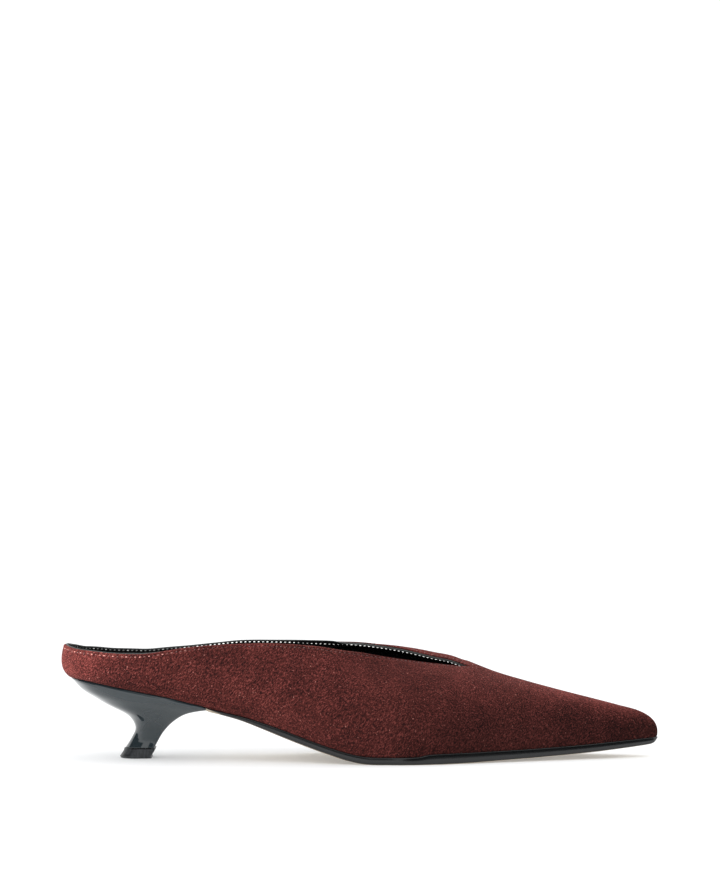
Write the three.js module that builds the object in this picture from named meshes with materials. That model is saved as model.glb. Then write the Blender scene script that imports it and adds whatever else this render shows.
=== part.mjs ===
// Pointed suede mule pump on a low curved heel, for the right foot.
//
// Frame: millimetres, +X to the toe, +Y to the inner (medial) side of the foot, +Z up.
// The origin is on the floor, under the middle of the shoe's overall length and width.
//
// The upper is one wall, drawn as ribs. Each rib leaves the feather line, where the upper meets
// the sole, and climbs to the topline, or past the throat to the ridge of the vamp. Ribs are named
// by their turn: 0 at the back of the heel and 1 at the tip of the toe, on either side.
import * as THREE from "three";

// Driving sizes
const featherLength = 268.2; // feather line, from the back of the seat to the tip of the toe
const seatLength = 64.4; // feather line at the back to the breast of the heel
const seatWidth = 50; // feather line across the seat
const ballWidth = 72.3; // feather line across the ball of the foot
const seatHeight = 36.8; // floor to the feather line at the back of the seat
const sideHeight = 50; // floor to the topline beside the ball of the foot
const toeSpring = 6.3; // floor to the sole under the tip of the toe
const ballAt = 0.52; // where the sole comes down to the floor, as a share of featherLength
const upperWall = 1.8; // suede and lining together
const insoleThickness = 2.2;
const soleThickness = 3.4; // outsole at the ball
const soleLip = 0.6; // how far the outsole stands out past the feather line
const soleBevel = 0.5; // along the outsole's bottom edge
const heelTipWidth = 15; // across the top lift, which meets the floor
const heelTipThickness = 4.5;
const fitGap = 0.3; // between pieces that touch

// Numbers of faces
const openRibs = 24; // ribs on each side, from the back to the throat
const vampRibs = 15; // ribs on each side, from the throat to the toe
const ribSteps = 9; // faces up each rib
const heelSideSteps = 11; // faces along each side of the heel
const heelBreastSteps = 6; // faces across the breast of the heel
const heelRingSteps = 2; // faces between two rows of the heel's table
const halvings = 20; // steps of a search for a point on a rib
const smallTurn = 1e-3; // step along the feather line for measuring a slope

// A table whose rows have named columns.
function table(names, ...rows) {
  const columns = names.split(" ");
  return rows.map((row) => Object.fromEntries(columns.map((name, i) => [name, row[i]])));
}

// In each table, at is a share of the feather line's length, from the back.

// Feather line in plan: distances from the long axis, as shares of the width there. That width
// goes from seatWidth to ballWidth, and toBall says how far it has gone.
const outlineRows = table(
  "at lateral medial toBall",
  [0, 0, 0, 0],
  [0.01, 0.2, 0.2, 0],
  [0.03, 0.338, 0.338, 0],
  [0.06, 0.412, 0.412, 0],
  [0.1, 0.454, 0.452, 0],
  [0.16, 0.47, 0.456, 0],
  [0.22, 0.452, 0.402, 0.08],
  [0.28, 0.428, 0.338, 0.25],
  [0.34, 0.433, 0.31, 0.45],
  [0.4, 0.456, 0.323, 0.65],
  [0.46, 0.481, 0.368, 0.85],
  [0.51, 0.494, 0.418, 1],
  [0.56, 0.508, 0.468, 1],
  [0.61, 0.483, 0.492, 1],
  [0.66, 0.429, 0.473, 1],
  [0.72, 0.351, 0.415, 1],
  [0.78, 0.274, 0.343, 1],
  [0.84, 0.199, 0.277, 1],
  [0.9, 0.122, 0.216, 1],
  [0.94, 0.065, 0.172, 1],
  [0.97, 0.021, 0.14, 1],
  [0.985, -0.003, 0.118, 1],
  [0.995, -0.023, 0.096, 1],
  [1, -0.058, 0.058, 1],
);

// Feather line from the side: rise is a share of seatHeight, spring of toeSpring, sole of
// soleThickness and lip of soleLip.
const profileRows = table(
  "at rise spring sole lip",
  [0, 1, 0, 0, 1],
  [0.023, 0.987, 0, 0, 1],
  [0.05, 0.955, 0, 0, 1],
  [0.08, 0.912, 0, 0, 1],
  [0.13, 0.842, 0, 0, 1],
  [0.184, 0.762, 0, 0, 1],
  [0.21, 0.702, 0, 0.12, 1],
  [0.233, 0.632, 0, 0.42, 1],
  [0.266, 0.567, 0, 0.44, 1],
  [0.293, 0.511, 0, 0.56, 1],
  [0.323, 0.429, 0, 0.78, 1],
  [0.353, 0.342, 0, 0.94, 1],
  [0.382, 0.261, 0, 1, 1],
  [0.412, 0.182, 0, 1, 1],
  [0.442, 0.109, 0, 1, 1],
  [0.472, 0.045, 0, 1.01, 1],
  [0.495, 0.012, 0, 1.01, 1],
  [0.52, 0, 0, 0.99, 1],
  [0.585, 0, 0, 1.03, 1],
  [0.612, 0, 0, 1.36, 1],
  [0.65, 0, 0.01, 1.41, 1],
  [0.73, 0, 0.14, 1.29, 1],
  [0.8, 0, 0.28, 1.2, 1],
  [0.865, 0, 0.45, 1.13, 1],
  [0.936, 0, 0.7, 1.04, 0.8],
  [0.974, 0, 0.86, 0.94, 0.5],
  [1, 0, 1, 0.86, 0],
);

// Topline, from the back to the throat. forward is how far the top of a rib lies ahead of its foot,
// as a share of featherLength. lateral and medial are shares of the width there. The tops are
// shares of sideHeight, above the pitch that the seat gives to the topline.
const toplineRows = table(
  "at forward lateral medial lateralTop medialTop",
  [0, -0.0105, 0, 0, 0.304, 0.304],
  [0.01, -0.0101, 0.21, 0.21, 0.29, 0.284],
  [0.03, -0.0094, 0.358, 0.358, 0.28, 0.262],
  [0.06, -0.0067, 0.458, 0.458, 0.284, 0.262],
  [0.1, -0.003, 0.514, 0.508, 0.311, 0.291],
  [0.13, -0.0011, 0.524, 0.512, 0.354, 0.331],
  [0.16, 0, 0.524, 0.5, 0.426, 0.398],
  [0.2, 0, 0.494, 0.457, 0.538, 0.496],
  [0.24, 0, 0.46, 0.411, 0.644, 0.606],
  [0.29, 0, 0.42, 0.367, 0.768, 0.744],
  [0.34, 0, 0.392, 0.342, 0.877, 0.851],
  [0.39, 0, 0.367, 0.326, 0.954, 0.938],
  [0.44, 0, 0.329, 0.299, 0.988, 0.997],
  [0.49, 0, 0.278, 0.257, 0.982, 1.024],
  [0.54, 0, 0.224, 0.206, 0.942, 0.999],
  [0.58, 0, 0.173, 0.156, 0.906, 0.961],
  [0.62, 0, 0.12, 0.097, 0.874, 0.914],
  [0.65, 0.0004, 0.0775, 0.044, 0.852, 0.884],
  [0.67, 0.0011, 0.05, 0.002, 0.838, 0.848],
  [0.68, 0.0019, 0.028, -0.028, 0.836, 0.836],
);

// Ridge of the vamp, from the throat to above the toe. centre is a share of ballWidth, to the
// medial side, and top of sideHeight. tilt is the slope across, rising to the medial side.
const ridgeRows = table(
  "at forward centre top tilt",
  [0.68, 0.0019, -0.028, 0.836, 0.31],
  [0.72, 0.0004, -0.017, 0.768, 0.22],
  [0.78, -0.0037, 0.003, 0.688, 0.13],
  [0.84, -0.0075, 0.021, 0.61, 0.08],
  [0.9, -0.0131, 0.037, 0.537, 0.04],
  [0.94, -0.0195, 0.047, 0.491, 0.02],
  [0.97, -0.0292, 0.054, 0.462, 0.01],
  [1, -0.0412, 0.058, 0.437, 0],
);

// Angles at which the ribs meet the topline, from the back to the throat: 90 is straight up, 0 is
// level, and less than 0 comes down to the topline from a crest outside it.
const leanRows = table(
  "at lateral medial",
  [0, 76, 76],
  [0.06, 80, 80],
  [0.16, 84, 84],
  [0.24, 82, 84],
  [0.34, 74, 78],
  [0.44, 56, 44],
  [0.5, 40, 4],
  [0.56, 28, -14],
  [0.62, 20, -20],
  [0.68, 17, -19],
);

// Shape of the ribs. Flares are the angles at which they leave the feather line: 90 is straight up
// and less leans out. Pulls are the lengths of their handles, as shares of their height. aim is how
// far a rib turns from square to the feather line towards its own top.
const wallRows = table(
  "at lateralFlare medialFlare lowPull highPull aim",
  [0, 32, 32, 0.42, 0.34, 0],
  [0.06, 36, 36, 0.4, 0.34, 0],
  [0.16, 48, 50, 0.36, 0.34, 0],
  [0.24, 56, 62, 0.36, 0.36, 0],
  [0.34, 60, 68, 0.36, 0.38, 0],
  [0.44, 66, 70, 0.38, 0.4, 0],
  [0.5, 72, 72, 0.4, 0.42, 0],
  [0.56, 78, 76, 0.42, 0.44, 0.2],
  [0.62, 82, 80, 0.42, 0.46, 0.6],
  [0.68, 86, 84, 0.44, 0.46, 1],
  [0.78, 92, 90, 0.46, 0.46, 1],
  [0.9, 94, 92, 0.48, 0.46, 1],
  [0.96, 90, 90, 0.46, 0.48, 1],
  [1, 80, 80, 0.4, 0.5, 1],
);

// Sections of the heel, from the seat down. Backs and fronts are shares of seatLength, and their
// heights are shares of the way from the top lift to the seat. The half width is seat times
// seatWidth and tip times heelTipWidth. square is how much of the section has the seat's outline.
// breast is the width of the front face as a share of the section, and hollow how far it is dished.
const heelRows = table(
  "back backUp front frontUp seat tip square breast hollow",
  [0.019, 0.97, 0.999, 0.575, 0.49, 0, 1, 1, 0],
  [0.084, 0.831, 0.92, 0.552, 0.43, 0.02, 0.7, 0.98, 0.01],
  [0.168, 0.722, 0.846, 0.514, 0.358, 0.06, 0.35, 0.94, 0.021],
  [0.267, 0.606, 0.786, 0.453, 0.282, 0.12, 0.12, 0.88, 0.029],
  [0.376, 0.498, 0.733, 0.372, 0.2, 0.2, 0, 0.8, 0.029],
  [0.438, 0.391, 0.696, 0.297, 0.123, 0.28, 0, 0.76, 0.025],
  [0.461, 0.272, 0.66, 0.206, 0.0545, 0.345, 0, 0.74, 0.019],
  [0.445, 0.175, 0.636, 0.128, 0.0185, 0.385, 0, 0.74, 0.013],
  [0.423, 0.094, 0.621, 0.075, 0.002, 0.42, 0, 0.76, 0.01],
  [0.393, 0, 0.602, 0, 0, 0.465, 0, 0.78, 0.008],
);

// Sections of the top lift, from the heel down. Backs and fronts are shares of seatLength, up of
// heelTipThickness and half of heelTipWidth.
const tipRows = table(
  "back front up half",
  [0.385, 0.607, 1, 0.48],
  [0.379, 0.599, 0.72, 0.485],
  [0.353, 0.576, 0.16, 0.5],
  [0.36, 0.58, 0, 0.49],
);

// Position along the outline

// The turn of a share of the feather line's length. Turns crowd at both ends, so that round ends
// get as many ribs as they need.
const turnOf = (share) => Math.acos(1 - 2 * share) / Math.PI;
const shareOf = (turn) => (1 - Math.cos(Math.PI * turn)) / 2;

const throatTurn = turnOf(toplineRows.at(-1).at);
const breastTurn = turnOf((seatLength + fitGap) / featherLength);

// A smooth function of turn through one column, which doesn't overshoot its rows. An end is level
// where both sides of the shoe meet in one curve, and free where the column runs on.
function through(rows, column, back = "level", front = "level") {
  const turns = rows.map((row) => turnOf(row.at));
  const values = rows.map((row) => row[column]);
  const last = rows.length - 1;
  const gap = (i) => turns[i + 1] - turns[i];
  const rise = (i) => (values[i + 1] - values[i]) / gap(i);
  const slopes = rows.map((_, i) => {
    if (i === 0) return back === "free" ? rise(0) : 0;
    if (i === last) return front === "free" ? rise(last - 1) : 0;
    const [before, after] = [rise(i - 1), rise(i)];
    const mean = (before * gap(i) + after * gap(i - 1)) / (gap(i - 1) + gap(i));
    const steepest = Math.min(Math.abs(before), Math.abs(after), Math.abs(mean) / 2);
    return (Math.sign(before) + Math.sign(after)) * steepest;
  });
  return (turn) => {
    let i = 0;
    while (i < last - 1 && turn > turns[i + 1]) i += 1;
    const s = THREE.MathUtils.clamp((turn - turns[i]) / gap(i), 0, 1);
    const [s2, s3] = [s * s, s * s * s];
    return (
      values[i] * (2 * s3 - 3 * s2 + 1) +
      values[i + 1] * (3 * s2 - 2 * s3) +
      gap(i) * (slopes[i] * (s3 - 2 * s2 + s) + slopes[i + 1] * (s3 - s2))
    );
  };
}

const sides = {
  lateral: {
    across: -1,
    foot: through(outlineRows, "lateral", "free", "free"),
    top: through(toplineRows, "lateral", "free", "free"),
    topHeight: through(toplineRows, "lateralTop", "level", "free"),
    flare: through(wallRows, "lateralFlare"),
    lean: through(leanRows, "lateral"),
  },
  medial: {
    across: 1,
    foot: through(outlineRows, "medial", "free", "free"),
    top: through(toplineRows, "medial", "free", "free"),
    topHeight: through(toplineRows, "medialTop", "level", "free"),
    flare: through(wallRows, "medialFlare"),
    lean: through(leanRows, "medial"),
  },
};
const toBall = through(outlineRows, "toBall");
const rise = through(profileRows, "rise");
const spring = through(profileRows, "spring");
const soleShare = through(profileRows, "sole");
const lipShare = through(profileRows, "lip");
const toplineForward = through(toplineRows, "forward", "level", "free");
const ridgeForward = through(ridgeRows, "forward", "free");
const ridgeCentre = through(ridgeRows, "centre", "free");
const ridgeTop = through(ridgeRows, "top", "free");
const ridgeTilt = through(ridgeRows, "tilt", "free");
const lowPull = through(wallRows, "lowPull");
const highPull = through(wallRows, "highPull");
const aim = through(wallRows, "aim");

// Lengths along the outline

const groundLine = (turn) => seatHeight * rise(turn) + toeSpring * spring(turn);
const featherHeight = (turn) => groundLine(turn) + soleThickness * soleShare(turn);
const alongFeather = (turn) => featherLength * shareOf(turn);
const widthAt = (turn) => THREE.MathUtils.lerp(seatWidth, ballWidth, toBall(turn));

// How much of the seat's height is in the topline's: all of it at the back, none past the ball.
const pitch = (turn) => (1 + Math.cos(Math.PI * Math.min(1, shareOf(turn) / ballAt))) / 2;

// The feather line's point at a turn.
function footOf(side, turn) {
  const { across, foot } = sides[side];
  return new THREE.Vector3(
    alongFeather(turn),
    across * widthAt(turn) * foot(turn),
    featherHeight(turn),
  );
}

// The level direction out of the shoe at a turn, square to the feather line in plan.
function outwardOf(side, turn) {
  const before = footOf(side, Math.max(0, turn - smallTurn));
  const after = footOf(side, Math.min(1, turn + smallTurn));
  const along = after.sub(before).setZ(0).normalize();
  const { across } = sides[side];
  return new THREE.Vector3(-along.y * across, along.x * across, 0);
}

// The ridge's point at a turn past the throat.
function ridgeOf(turn) {
  return new THREE.Vector3(
    alongFeather(turn) + featherLength * ridgeForward(turn),
    ballWidth * ridgeCentre(turn),
    sideHeight * ridgeTop(turn),
  );
}

// The top of a rib: on the topline, or on the ridge past the throat.
function topOf(side, turn) {
  if (turn >= throatTurn) return ridgeOf(turn);
  const { across, top, topHeight } = sides[side];
  return new THREE.Vector3(
    alongFeather(turn) + featherLength * toplineForward(turn),
    across * widthAt(turn) * top(turn),
    seatHeight * pitch(turn) + sideHeight * topHeight(turn),
  );
}

// The direction in which a rib leaves its top, going out and down. At the topline it has the lean
// there. Past the throat both halves of the vamp lie in one tangent plane at the ridge.
function leaveTop(side, turn, outward) {
  if (turn < throatTurn) {
    const lean = THREE.MathUtils.degToRad(sides[side].lean(turn));
    return outward.clone().multiplyScalar(Math.cos(lean)).setZ(-Math.sin(lean));
  }
  const before = ridgeOf(Math.max(throatTurn, turn - smallTurn));
  const along = ridgeOf(Math.min(1, turn + smallTurn)).sub(before);
  const slopeAlong = (along.z - ridgeTilt(turn) * along.y) / along.x;
  const fall = slopeAlong * outward.x + ridgeTilt(turn) * outward.y;
  return outward.clone().setZ(fall).normalize();
}

// A rib as a cubic curve from the feather line to its top.
function ribOf(side, turn) {
  const foot = footOf(side, turn);
  const top = topOf(side, turn);
  const ownWay = foot.clone().sub(top).setZ(0).normalize();
  const outward = outwardOf(side, turn).lerp(ownWay, aim(turn)).normalize();
  const height = foot.distanceTo(top);
  const flare = THREE.MathUtils.degToRad(sides[side].flare(turn));
  const low = outward.clone().multiplyScalar(Math.cos(flare)).setZ(Math.sin(flare));
  const high = leaveTop(side, turn, outward);
  return new THREE.CubicBezierCurve3(
    foot,
    foot.clone().addScaledVector(low, height * lowPull(turn)),
    top.clone().addScaledVector(high, height * highPull(turn)),
    top,
  );
}

// How far inside the feather line the wall's inner face lies, at a height above it. A clearance
// is kept square to the wall.
function wallInset(side, turn, height, clearance = 0) {
  const rib = ribOf(side, turn);
  const foot = footOf(side, turn);
  const outward = outwardOf(side, turn);
  const depth = upperWall + clearance;
  const innerAt = (t) => {
    const along = rib.getTangent(t);
    const inward = outward.clone().multiplyScalar(-along.z).setZ(along.dot(outward)).normalize();
    return rib.getPoint(t).addScaledVector(inward, depth).sub(foot);
  };
  if (innerAt(0).z >= height) {
    const flare = THREE.MathUtils.degToRad(sides[side].flare(turn));
    return depth / Math.sin(flare) - height / Math.tan(flare);
  }
  let [low, high] = [0, 0.5];
  for (let i = 0; i < halvings; i += 1) {
    const middle = (low + high) / 2;
    if (innerAt(middle).z < height) low = middle;
    else high = middle;
  }
  return -innerAt(low).dot(outward);
}

// The feather line moved inwards (or outwards, if inset is negative), at its own height.
function insetFoot(side, turn, inset) {
  return footOf(side, turn).addScaledVector(outwardOf(side, turn), -inset);
}

// Meshes

// Points and faces of one closed solid.
class Skin {
  points = [];
  faces = [];

  add(point) {
    return this.points.push(point.clone()) - 1;
  }

  addAll(points) {
    return points.map((point) => this.add(point));
  }

  // Faces run anticlockwise seen from outside. A corner that two sides share makes a triangle.
  quad(a, b, c, d) {
    for (const face of [[a, b, c], [a, c, d]]) {
      if (new Set(face).size === 3) this.faces.push(face);
    }
  }

  // The band between two loops of points, the second one lower or further in.
  band(upper, lower) {
    upper.forEach((_, i) => {
      const next = (i + 1) % upper.length;
      this.quad(lower[i], lower[next], upper[next], upper[i]);
    });
  }

  // Area-weighted normals of the points.
  normals() {
    const sums = this.points.map(() => new THREE.Vector3());
    for (const [a, b, c] of this.faces) {
      const [pa, pb, pc] = [this.points[a], this.points[b], this.points[c]];
      const normal = pb.clone().sub(pa).cross(pc.clone().sub(pa));
      for (const corner of [a, b, c]) sums[corner].add(normal);
    }
    return sums.map((sum) => sum.normalize());
  }

  mesh(name, material) {
    const geometry = new THREE.BufferGeometry();
    const places = this.points.flatMap((point) => point.toArray());
    geometry.setAttribute("position", new THREE.Float32BufferAttribute(places, 3));
    geometry.setIndex(this.faces.flat());
    geometry.computeVertexNormals();
    const mesh = new THREE.Mesh(geometry, material);
    mesh.name = name;
    return mesh;
  }
}

// Stations once round the shoe: up the lateral side from the back, then back down the medial side.
function roundTrip(turns) {
  const out = turns.map((turn, index) => ({ side: "lateral", turn, index }));
  const last = turns.length - 1;
  const inner = turns.map((turn, index) => ({ side: "medial", turn, index }));
  return [...out, ...inner.slice(1, last).reverse()];
}

const openTurns = Array.from({ length: openRibs }, (_, i) => (throatTurn * i) / openRibs);
const vampTurns = Array.from(
  { length: vampRibs + 1 },
  (_, i) => throatTurn + ((1 - throatTurn) * i) / vampRibs,
);
const allTurns = [...openTurns, ...vampTurns];

// Closes a solid across its two sides, with strips between stations of the same index.
function closeAcross(skin, ring, stations, facesUp) {
  const lateral = [];
  const medial = [];
  stations.forEach(({ side, index }, i) => {
    (side === "lateral" ? lateral : medial)[index] = ring[i];
  });
  lateral.forEach((_, index) => {
    medial[index] ??= lateral[index];
  });
  for (let i = 0; i + 1 < lateral.length; i += 1) {
    const strip = [lateral[i], lateral[i + 1], medial[i + 1], medial[i]];
    skin.quad(...(facesUp ? strip : strip.reverse()));
  }
}

// Upper: one wall of suede and lining, open at the foot and along the topline.
function makeUpper(material) {
  const stations = roundTrip(allTurns);
  const outer = new Skin();
  const ridge = new Map();
  const columns = stations.map(({ side, turn, index }) => {
    const rib = ribOf(side, turn);
    const column = [];
    for (let step = 0; step < ribSteps; step += 1) {
      column.push(outer.add(rib.getPoint(step / ribSteps)));
    }
    const closed = index >= openRibs;
    if (!closed || !ridge.has(index)) {
      const top = outer.add(rib.getPoint(1));
      if (closed) ridge.set(index, top);
      column.push(top);
    } else {
      column.push(ridge.get(index));
    }
    return column;
  });
  columns.forEach((column, i) => {
    const next = columns[(i + 1) % columns.length];
    for (let step = 0; step < ribSteps; step += 1) {
      outer.quad(column[step], next[step], next[step + 1], column[step + 1]);
    }
  });

  // The inner face lies one wall inside the outer face, and ends level with the feather line.
  const skin = new Skin();
  skin.points = outer.points.map((point) => point.clone());
  skin.faces = outer.faces.map((face) => [...face]);
  const count = outer.points.length;
  outer.normals().forEach((normal, i) => {
    skin.add(outer.points[i].clone().addScaledVector(normal, -upperWall));
  });
  stations.forEach(({ side, turn }, i) => {
    skin.points[columns[i][0] + count] = insetFoot(side, turn, wallInset(side, turn, 0));
  });
  for (const [a, b, c] of outer.faces) skin.faces.push([a + count, c + count, b + count]);

  columns.forEach((column, i) => {
    const next = columns[(i + 1) % columns.length];
    const [a, b] = [column[0], next[0]];
    skin.quad(b, a, a + count, b + count);
    const lastOpen = Math.min(stations[i].index, stations[(i + 1) % columns.length].index);
    if (lastOpen < openRibs) {
      const [c, d] = [column[ribSteps], next[ribSteps]];
      skin.quad(c, d, d + count, c + count);
    }
  });
  return skin.mesh("upper", material);
}

// A flat-lying sole layer between two height functions, following the feather line.
function makeLayer(name, material, turns, rings) {
  const stations = roundTrip(turns);
  const openBack = turns[0] > 0;
  if (openBack) stations.push({ side: "medial", turn: turns[0], index: 0 });
  const skin = new Skin();
  const loops = rings.map(({ inset, height }) =>
    skin.addAll(
      stations.map(({ side, turn }) => insetFoot(side, turn, inset(side, turn)).setZ(height(turn))),
    ),
  );
  for (let i = 0; i + 1 < loops.length; i += 1) skin.band(loops[i + 1], loops[i]);
  closeAcross(skin, loops[0], stations, false);
  closeAcross(skin, loops.at(-1), stations, true);
  return skin.mesh(name, material);
}

// Insole: the footbed inside the upper's wall, from the heel seat to the toe.
function makeInsole(material) {
  const clear = (height) => (side, turn) => wallInset(side, turn, height, fitGap);
  return makeLayer("insole", material, allTurns, [
    { inset: clear(0), height: featherHeight },
    { inset: clear(insoleThickness / 2), height: (turn) => featherHeight(turn) + insoleThickness / 2 },
    { inset: clear(insoleThickness), height: (turn) => featherHeight(turn) + insoleThickness },
  ]);
}

// Outsole: from the breast of the heel to the toe, thin through the waist.
function makeOutsole(material) {
  const turns = [breastTurn, ...allTurns.filter((turn) => turn > breastTurn)];
  const lip = (turn) => -soleLip * lipShare(turn);
  const top = (turn) => featherHeight(turn) - fitGap;
  const bevel = (turn) => Math.min(soleBevel, (top(turn) - groundLine(turn)) / 2);
  return makeLayer("outsole", material, turns, [
    { inset: (_, turn) => lip(turn) + bevel(turn), height: groundLine },
    { inset: (_, turn) => lip(turn), height: (turn) => groundLine(turn) + bevel(turn) },
    { inset: (_, turn) => lip(turn), height: (turn) => top(turn) - bevel(turn) / 2 },
    { inset: (_, turn) => lip(turn) + bevel(turn) / 2, height: top },
  ]);
}

// A loop of points with a round back and a flat front: the section of a heel or a top lift.
// back and front are points on the long axis, half is the half width.
function heelSection({ back, front, half, square, breast, hollow }) {
  const along = (share) => THREE.MathUtils.lerp(back.x, front.x, share);
  const upAt = (x) => THREE.MathUtils.mapLinear(x, back.x, front.x, back.z, front.z);
  const edge = (side, angle) => {
    const share = (1 - Math.cos(angle)) / 2;
    const round = angle < Math.PI / 2 ? Math.sin(angle) : breast + (1 - breast) * Math.sin(angle);
    const seat = 2 * sides[side].foot(turnOf((share * seatLength) / featherLength));
    const across = sides[side].across * half * THREE.MathUtils.lerp(round, seat, square);
    return { x: along(share), y: across };
  };
  const angles = Array.from({ length: heelSideSteps + 1 }, (_, i) => (Math.PI * i) / heelSideSteps);
  const lateral = angles.map((angle) => edge("lateral", angle));
  const medial = angles.slice(1).map((angle) => edge("medial", angle)).reverse();
  const [from, to] = [lateral.at(-1), medial[0]];
  const face = Array.from({ length: heelBreastSteps - 1 }, (_, i) => {
    const share = (i + 1) / heelBreastSteps;
    const dish = hollow * 4 * share * (1 - share);
    return { x: front.x - dish, y: THREE.MathUtils.lerp(from.y, to.y, share) };
  });
  return [...lateral, ...face, ...medial].map(({ x, y }) => new THREE.Vector3(x, y, upAt(x)));
}

// A smooth curve through a column of the heel's table, by row number.
function heelColumn(column) {
  const points = heelRows.map((row, i) => new THREE.Vector2(i, row[column]));
  const curve = new THREE.SplineCurve(points);
  return (row) => curve.getPoint(row / (heelRows.length - 1)).y;
}

// The seat of the heel: the feather line's own outline and height, as far as the breast.
function heelSeat() {
  const back = new THREE.Vector3(fitGap, 0, 0);
  const front = new THREE.Vector3(seatLength, 0, 0);
  const half = seatWidth / 2 - fitGap;
  const loop = heelSection({ back, front, half, square: 1, breast: 1, hollow: 0 });
  return loop.map((point) => point.setZ(featherHeight(turnOf(point.x / featherLength)) - fitGap));
}

// Heel: a lacquered block that sweeps from the seat to a slim neck and flares to its top lift.
function makeHeel(material) {
  const columns = Object.fromEntries(
    Object.keys(heelRows[0]).map((column) => [column, heelColumn(column)]),
  );
  const foot = heelTipThickness + fitGap;
  const skin = new Skin();
  const loops = [heelSeat()];
  const last = (heelRows.length - 1) * heelRingSteps;
  for (let i = 0; i <= last; i += 1) {
    const at = (column) => columns[column](i / heelRingSteps);
    const place = (along, up) =>
      new THREE.Vector3(seatLength * at(along), 0, THREE.MathUtils.lerp(foot, seatHeight, at(up)));
    loops.push(
      heelSection({
        back: place("back", "backUp"),
        front: place("front", "frontUp"),
        half: seatWidth * Math.max(0, at("seat")) + heelTipWidth * at("tip"),
        square: THREE.MathUtils.clamp(at("square"), 0, 1),
        breast: at("breast"),
        hollow: seatLength * at("hollow"),
      }),
    );
  }
  const rings = loops.map((loop) => skin.addAll(loop));
  for (let i = 0; i + 1 < rings.length; i += 1) skin.band(rings[i], rings[i + 1]);
  capSection(skin, rings[0], true);
  capSection(skin, rings.at(-1), false);
  return skin.mesh("heel", material);
}

// Closes a heel section across its sides, then across its front face.
function capSection(skin, ring, facesUp) {
  const count = ring.length;
  const strip = (a, b, c, d) => skin.quad(...(facesUp ? [a, b, c, d] : [d, c, b, a]));
  for (let i = 0; i < heelSideSteps; i += 1) {
    strip(ring[i], ring[i + 1], ring[(count - i - 1) % count], ring[(count - i) % count]);
  }
  const [first, end] = [heelSideSteps, count - heelSideSteps];
  for (let i = 0; first + i + 1 <= end - i - 1; i += 1) {
    strip(ring[first + i], ring[first + i + 1], ring[end - i - 1], ring[end - i]);
  }
}

// Top lift: the replaceable heel tip that stands on the floor.
function makeTopLift(material) {
  const skin = new Skin();
  const rings = tipRows.map(({ back, front, up, half }) => {
    const height = heelTipThickness * up;
    return skin.addAll(
      heelSection({
        back: new THREE.Vector3(seatLength * back, 0, height),
        front: new THREE.Vector3(seatLength * front, 0, height),
        half: heelTipWidth * half,
        square: 0,
        breast: heelRows.at(-1).breast,
        hollow: 0,
      }),
    );
  });
  for (let i = 0; i + 1 < rings.length; i += 1) skin.band(rings[i], rings[i + 1]);
  capSection(skin, rings[0], true);
  capSection(skin, rings.at(-1), false);
  return skin.mesh("top_lift", material);
}

const suede = new THREE.MeshStandardMaterial({ color: 0x5e302d, roughness: 0.95, metalness: 0 });
const footbed = new THREE.MeshStandardMaterial({ color: 0x17171a, roughness: 0.45, metalness: 0 });
const soleEdge = new THREE.MeshStandardMaterial({ color: 0x1b1d20, roughness: 0.4, metalness: 0 });
const lacquer = new THREE.MeshStandardMaterial({ color: 0x0d0f11, roughness: 0.08, metalness: 0 });
const tipRubber = new THREE.MeshStandardMaterial({ color: 0x202226, roughness: 0.5, metalness: 0 });

const shoe = new THREE.Group();
shoe.add(
  makeUpper(suede),
  makeInsole(footbed),
  makeOutsole(soleEdge),
  makeHeel(lacquer),
  makeTopLift(tipRubber),
);

// The long axis of the drawing is moved to the middle of the overall box.
const extent = new THREE.Box3().setFromObject(shoe);
const middle = extent.getCenter(new THREE.Vector3());
shoe.position.set(-middle.x, -middle.y, 0);

export default shoe;
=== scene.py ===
"""Pointed suede mule pump on a low curved heel, for the right foot: the looks round its CAD frame.

Laid out as a Blender add-on, and run as a script. Everything is in metres, in the CAD's frame: +X
to the toe, +Y to the inner (medial) side, +Z up, and the floor at Z = 0. The tables and the ribs of
the upper are those of the CAD source: a rib leaves the feather line, where the upper meets the
sole, and climbs to the topline, or past the throat to the ridge of the vamp.
"""

import math

import bpy
import numpy as np
from bpy.props import FloatProperty, FloatVectorProperty, PointerProperty
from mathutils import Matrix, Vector


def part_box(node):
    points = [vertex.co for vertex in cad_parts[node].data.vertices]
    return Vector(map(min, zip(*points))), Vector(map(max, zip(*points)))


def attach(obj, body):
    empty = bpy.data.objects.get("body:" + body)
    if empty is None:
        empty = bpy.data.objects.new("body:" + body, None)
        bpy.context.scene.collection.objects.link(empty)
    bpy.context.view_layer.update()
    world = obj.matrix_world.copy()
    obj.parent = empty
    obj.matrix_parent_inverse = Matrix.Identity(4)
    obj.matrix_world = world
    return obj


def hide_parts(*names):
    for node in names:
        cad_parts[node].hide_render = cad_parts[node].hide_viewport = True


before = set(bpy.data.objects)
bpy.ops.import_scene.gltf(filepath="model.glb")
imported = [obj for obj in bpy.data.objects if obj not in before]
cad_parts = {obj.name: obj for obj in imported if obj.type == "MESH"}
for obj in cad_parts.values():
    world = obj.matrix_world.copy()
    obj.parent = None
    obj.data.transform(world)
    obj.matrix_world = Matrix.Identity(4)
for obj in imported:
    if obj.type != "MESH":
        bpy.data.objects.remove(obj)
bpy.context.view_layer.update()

bl_info = {
    "name": "Suede mule",
    "version": (1, 0, 0),
    "blender": (4, 5, 0),
    "location": "View3D > Sidebar > Mule",
    "description": "Builds a pointed suede mule on a low lacquered heel, round its CAD frame",
    "category": "Object",
}

MM = 0.001


# Shape tables, as in the CAD source, and the creases. at is a share of the feather line's length.


def table(text):
    """One array for each column, whose name is in the first line."""
    names, *rows = (line.split() for line in text.strip().splitlines())
    return dict(zip(names, np.array(rows, float).T))


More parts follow.
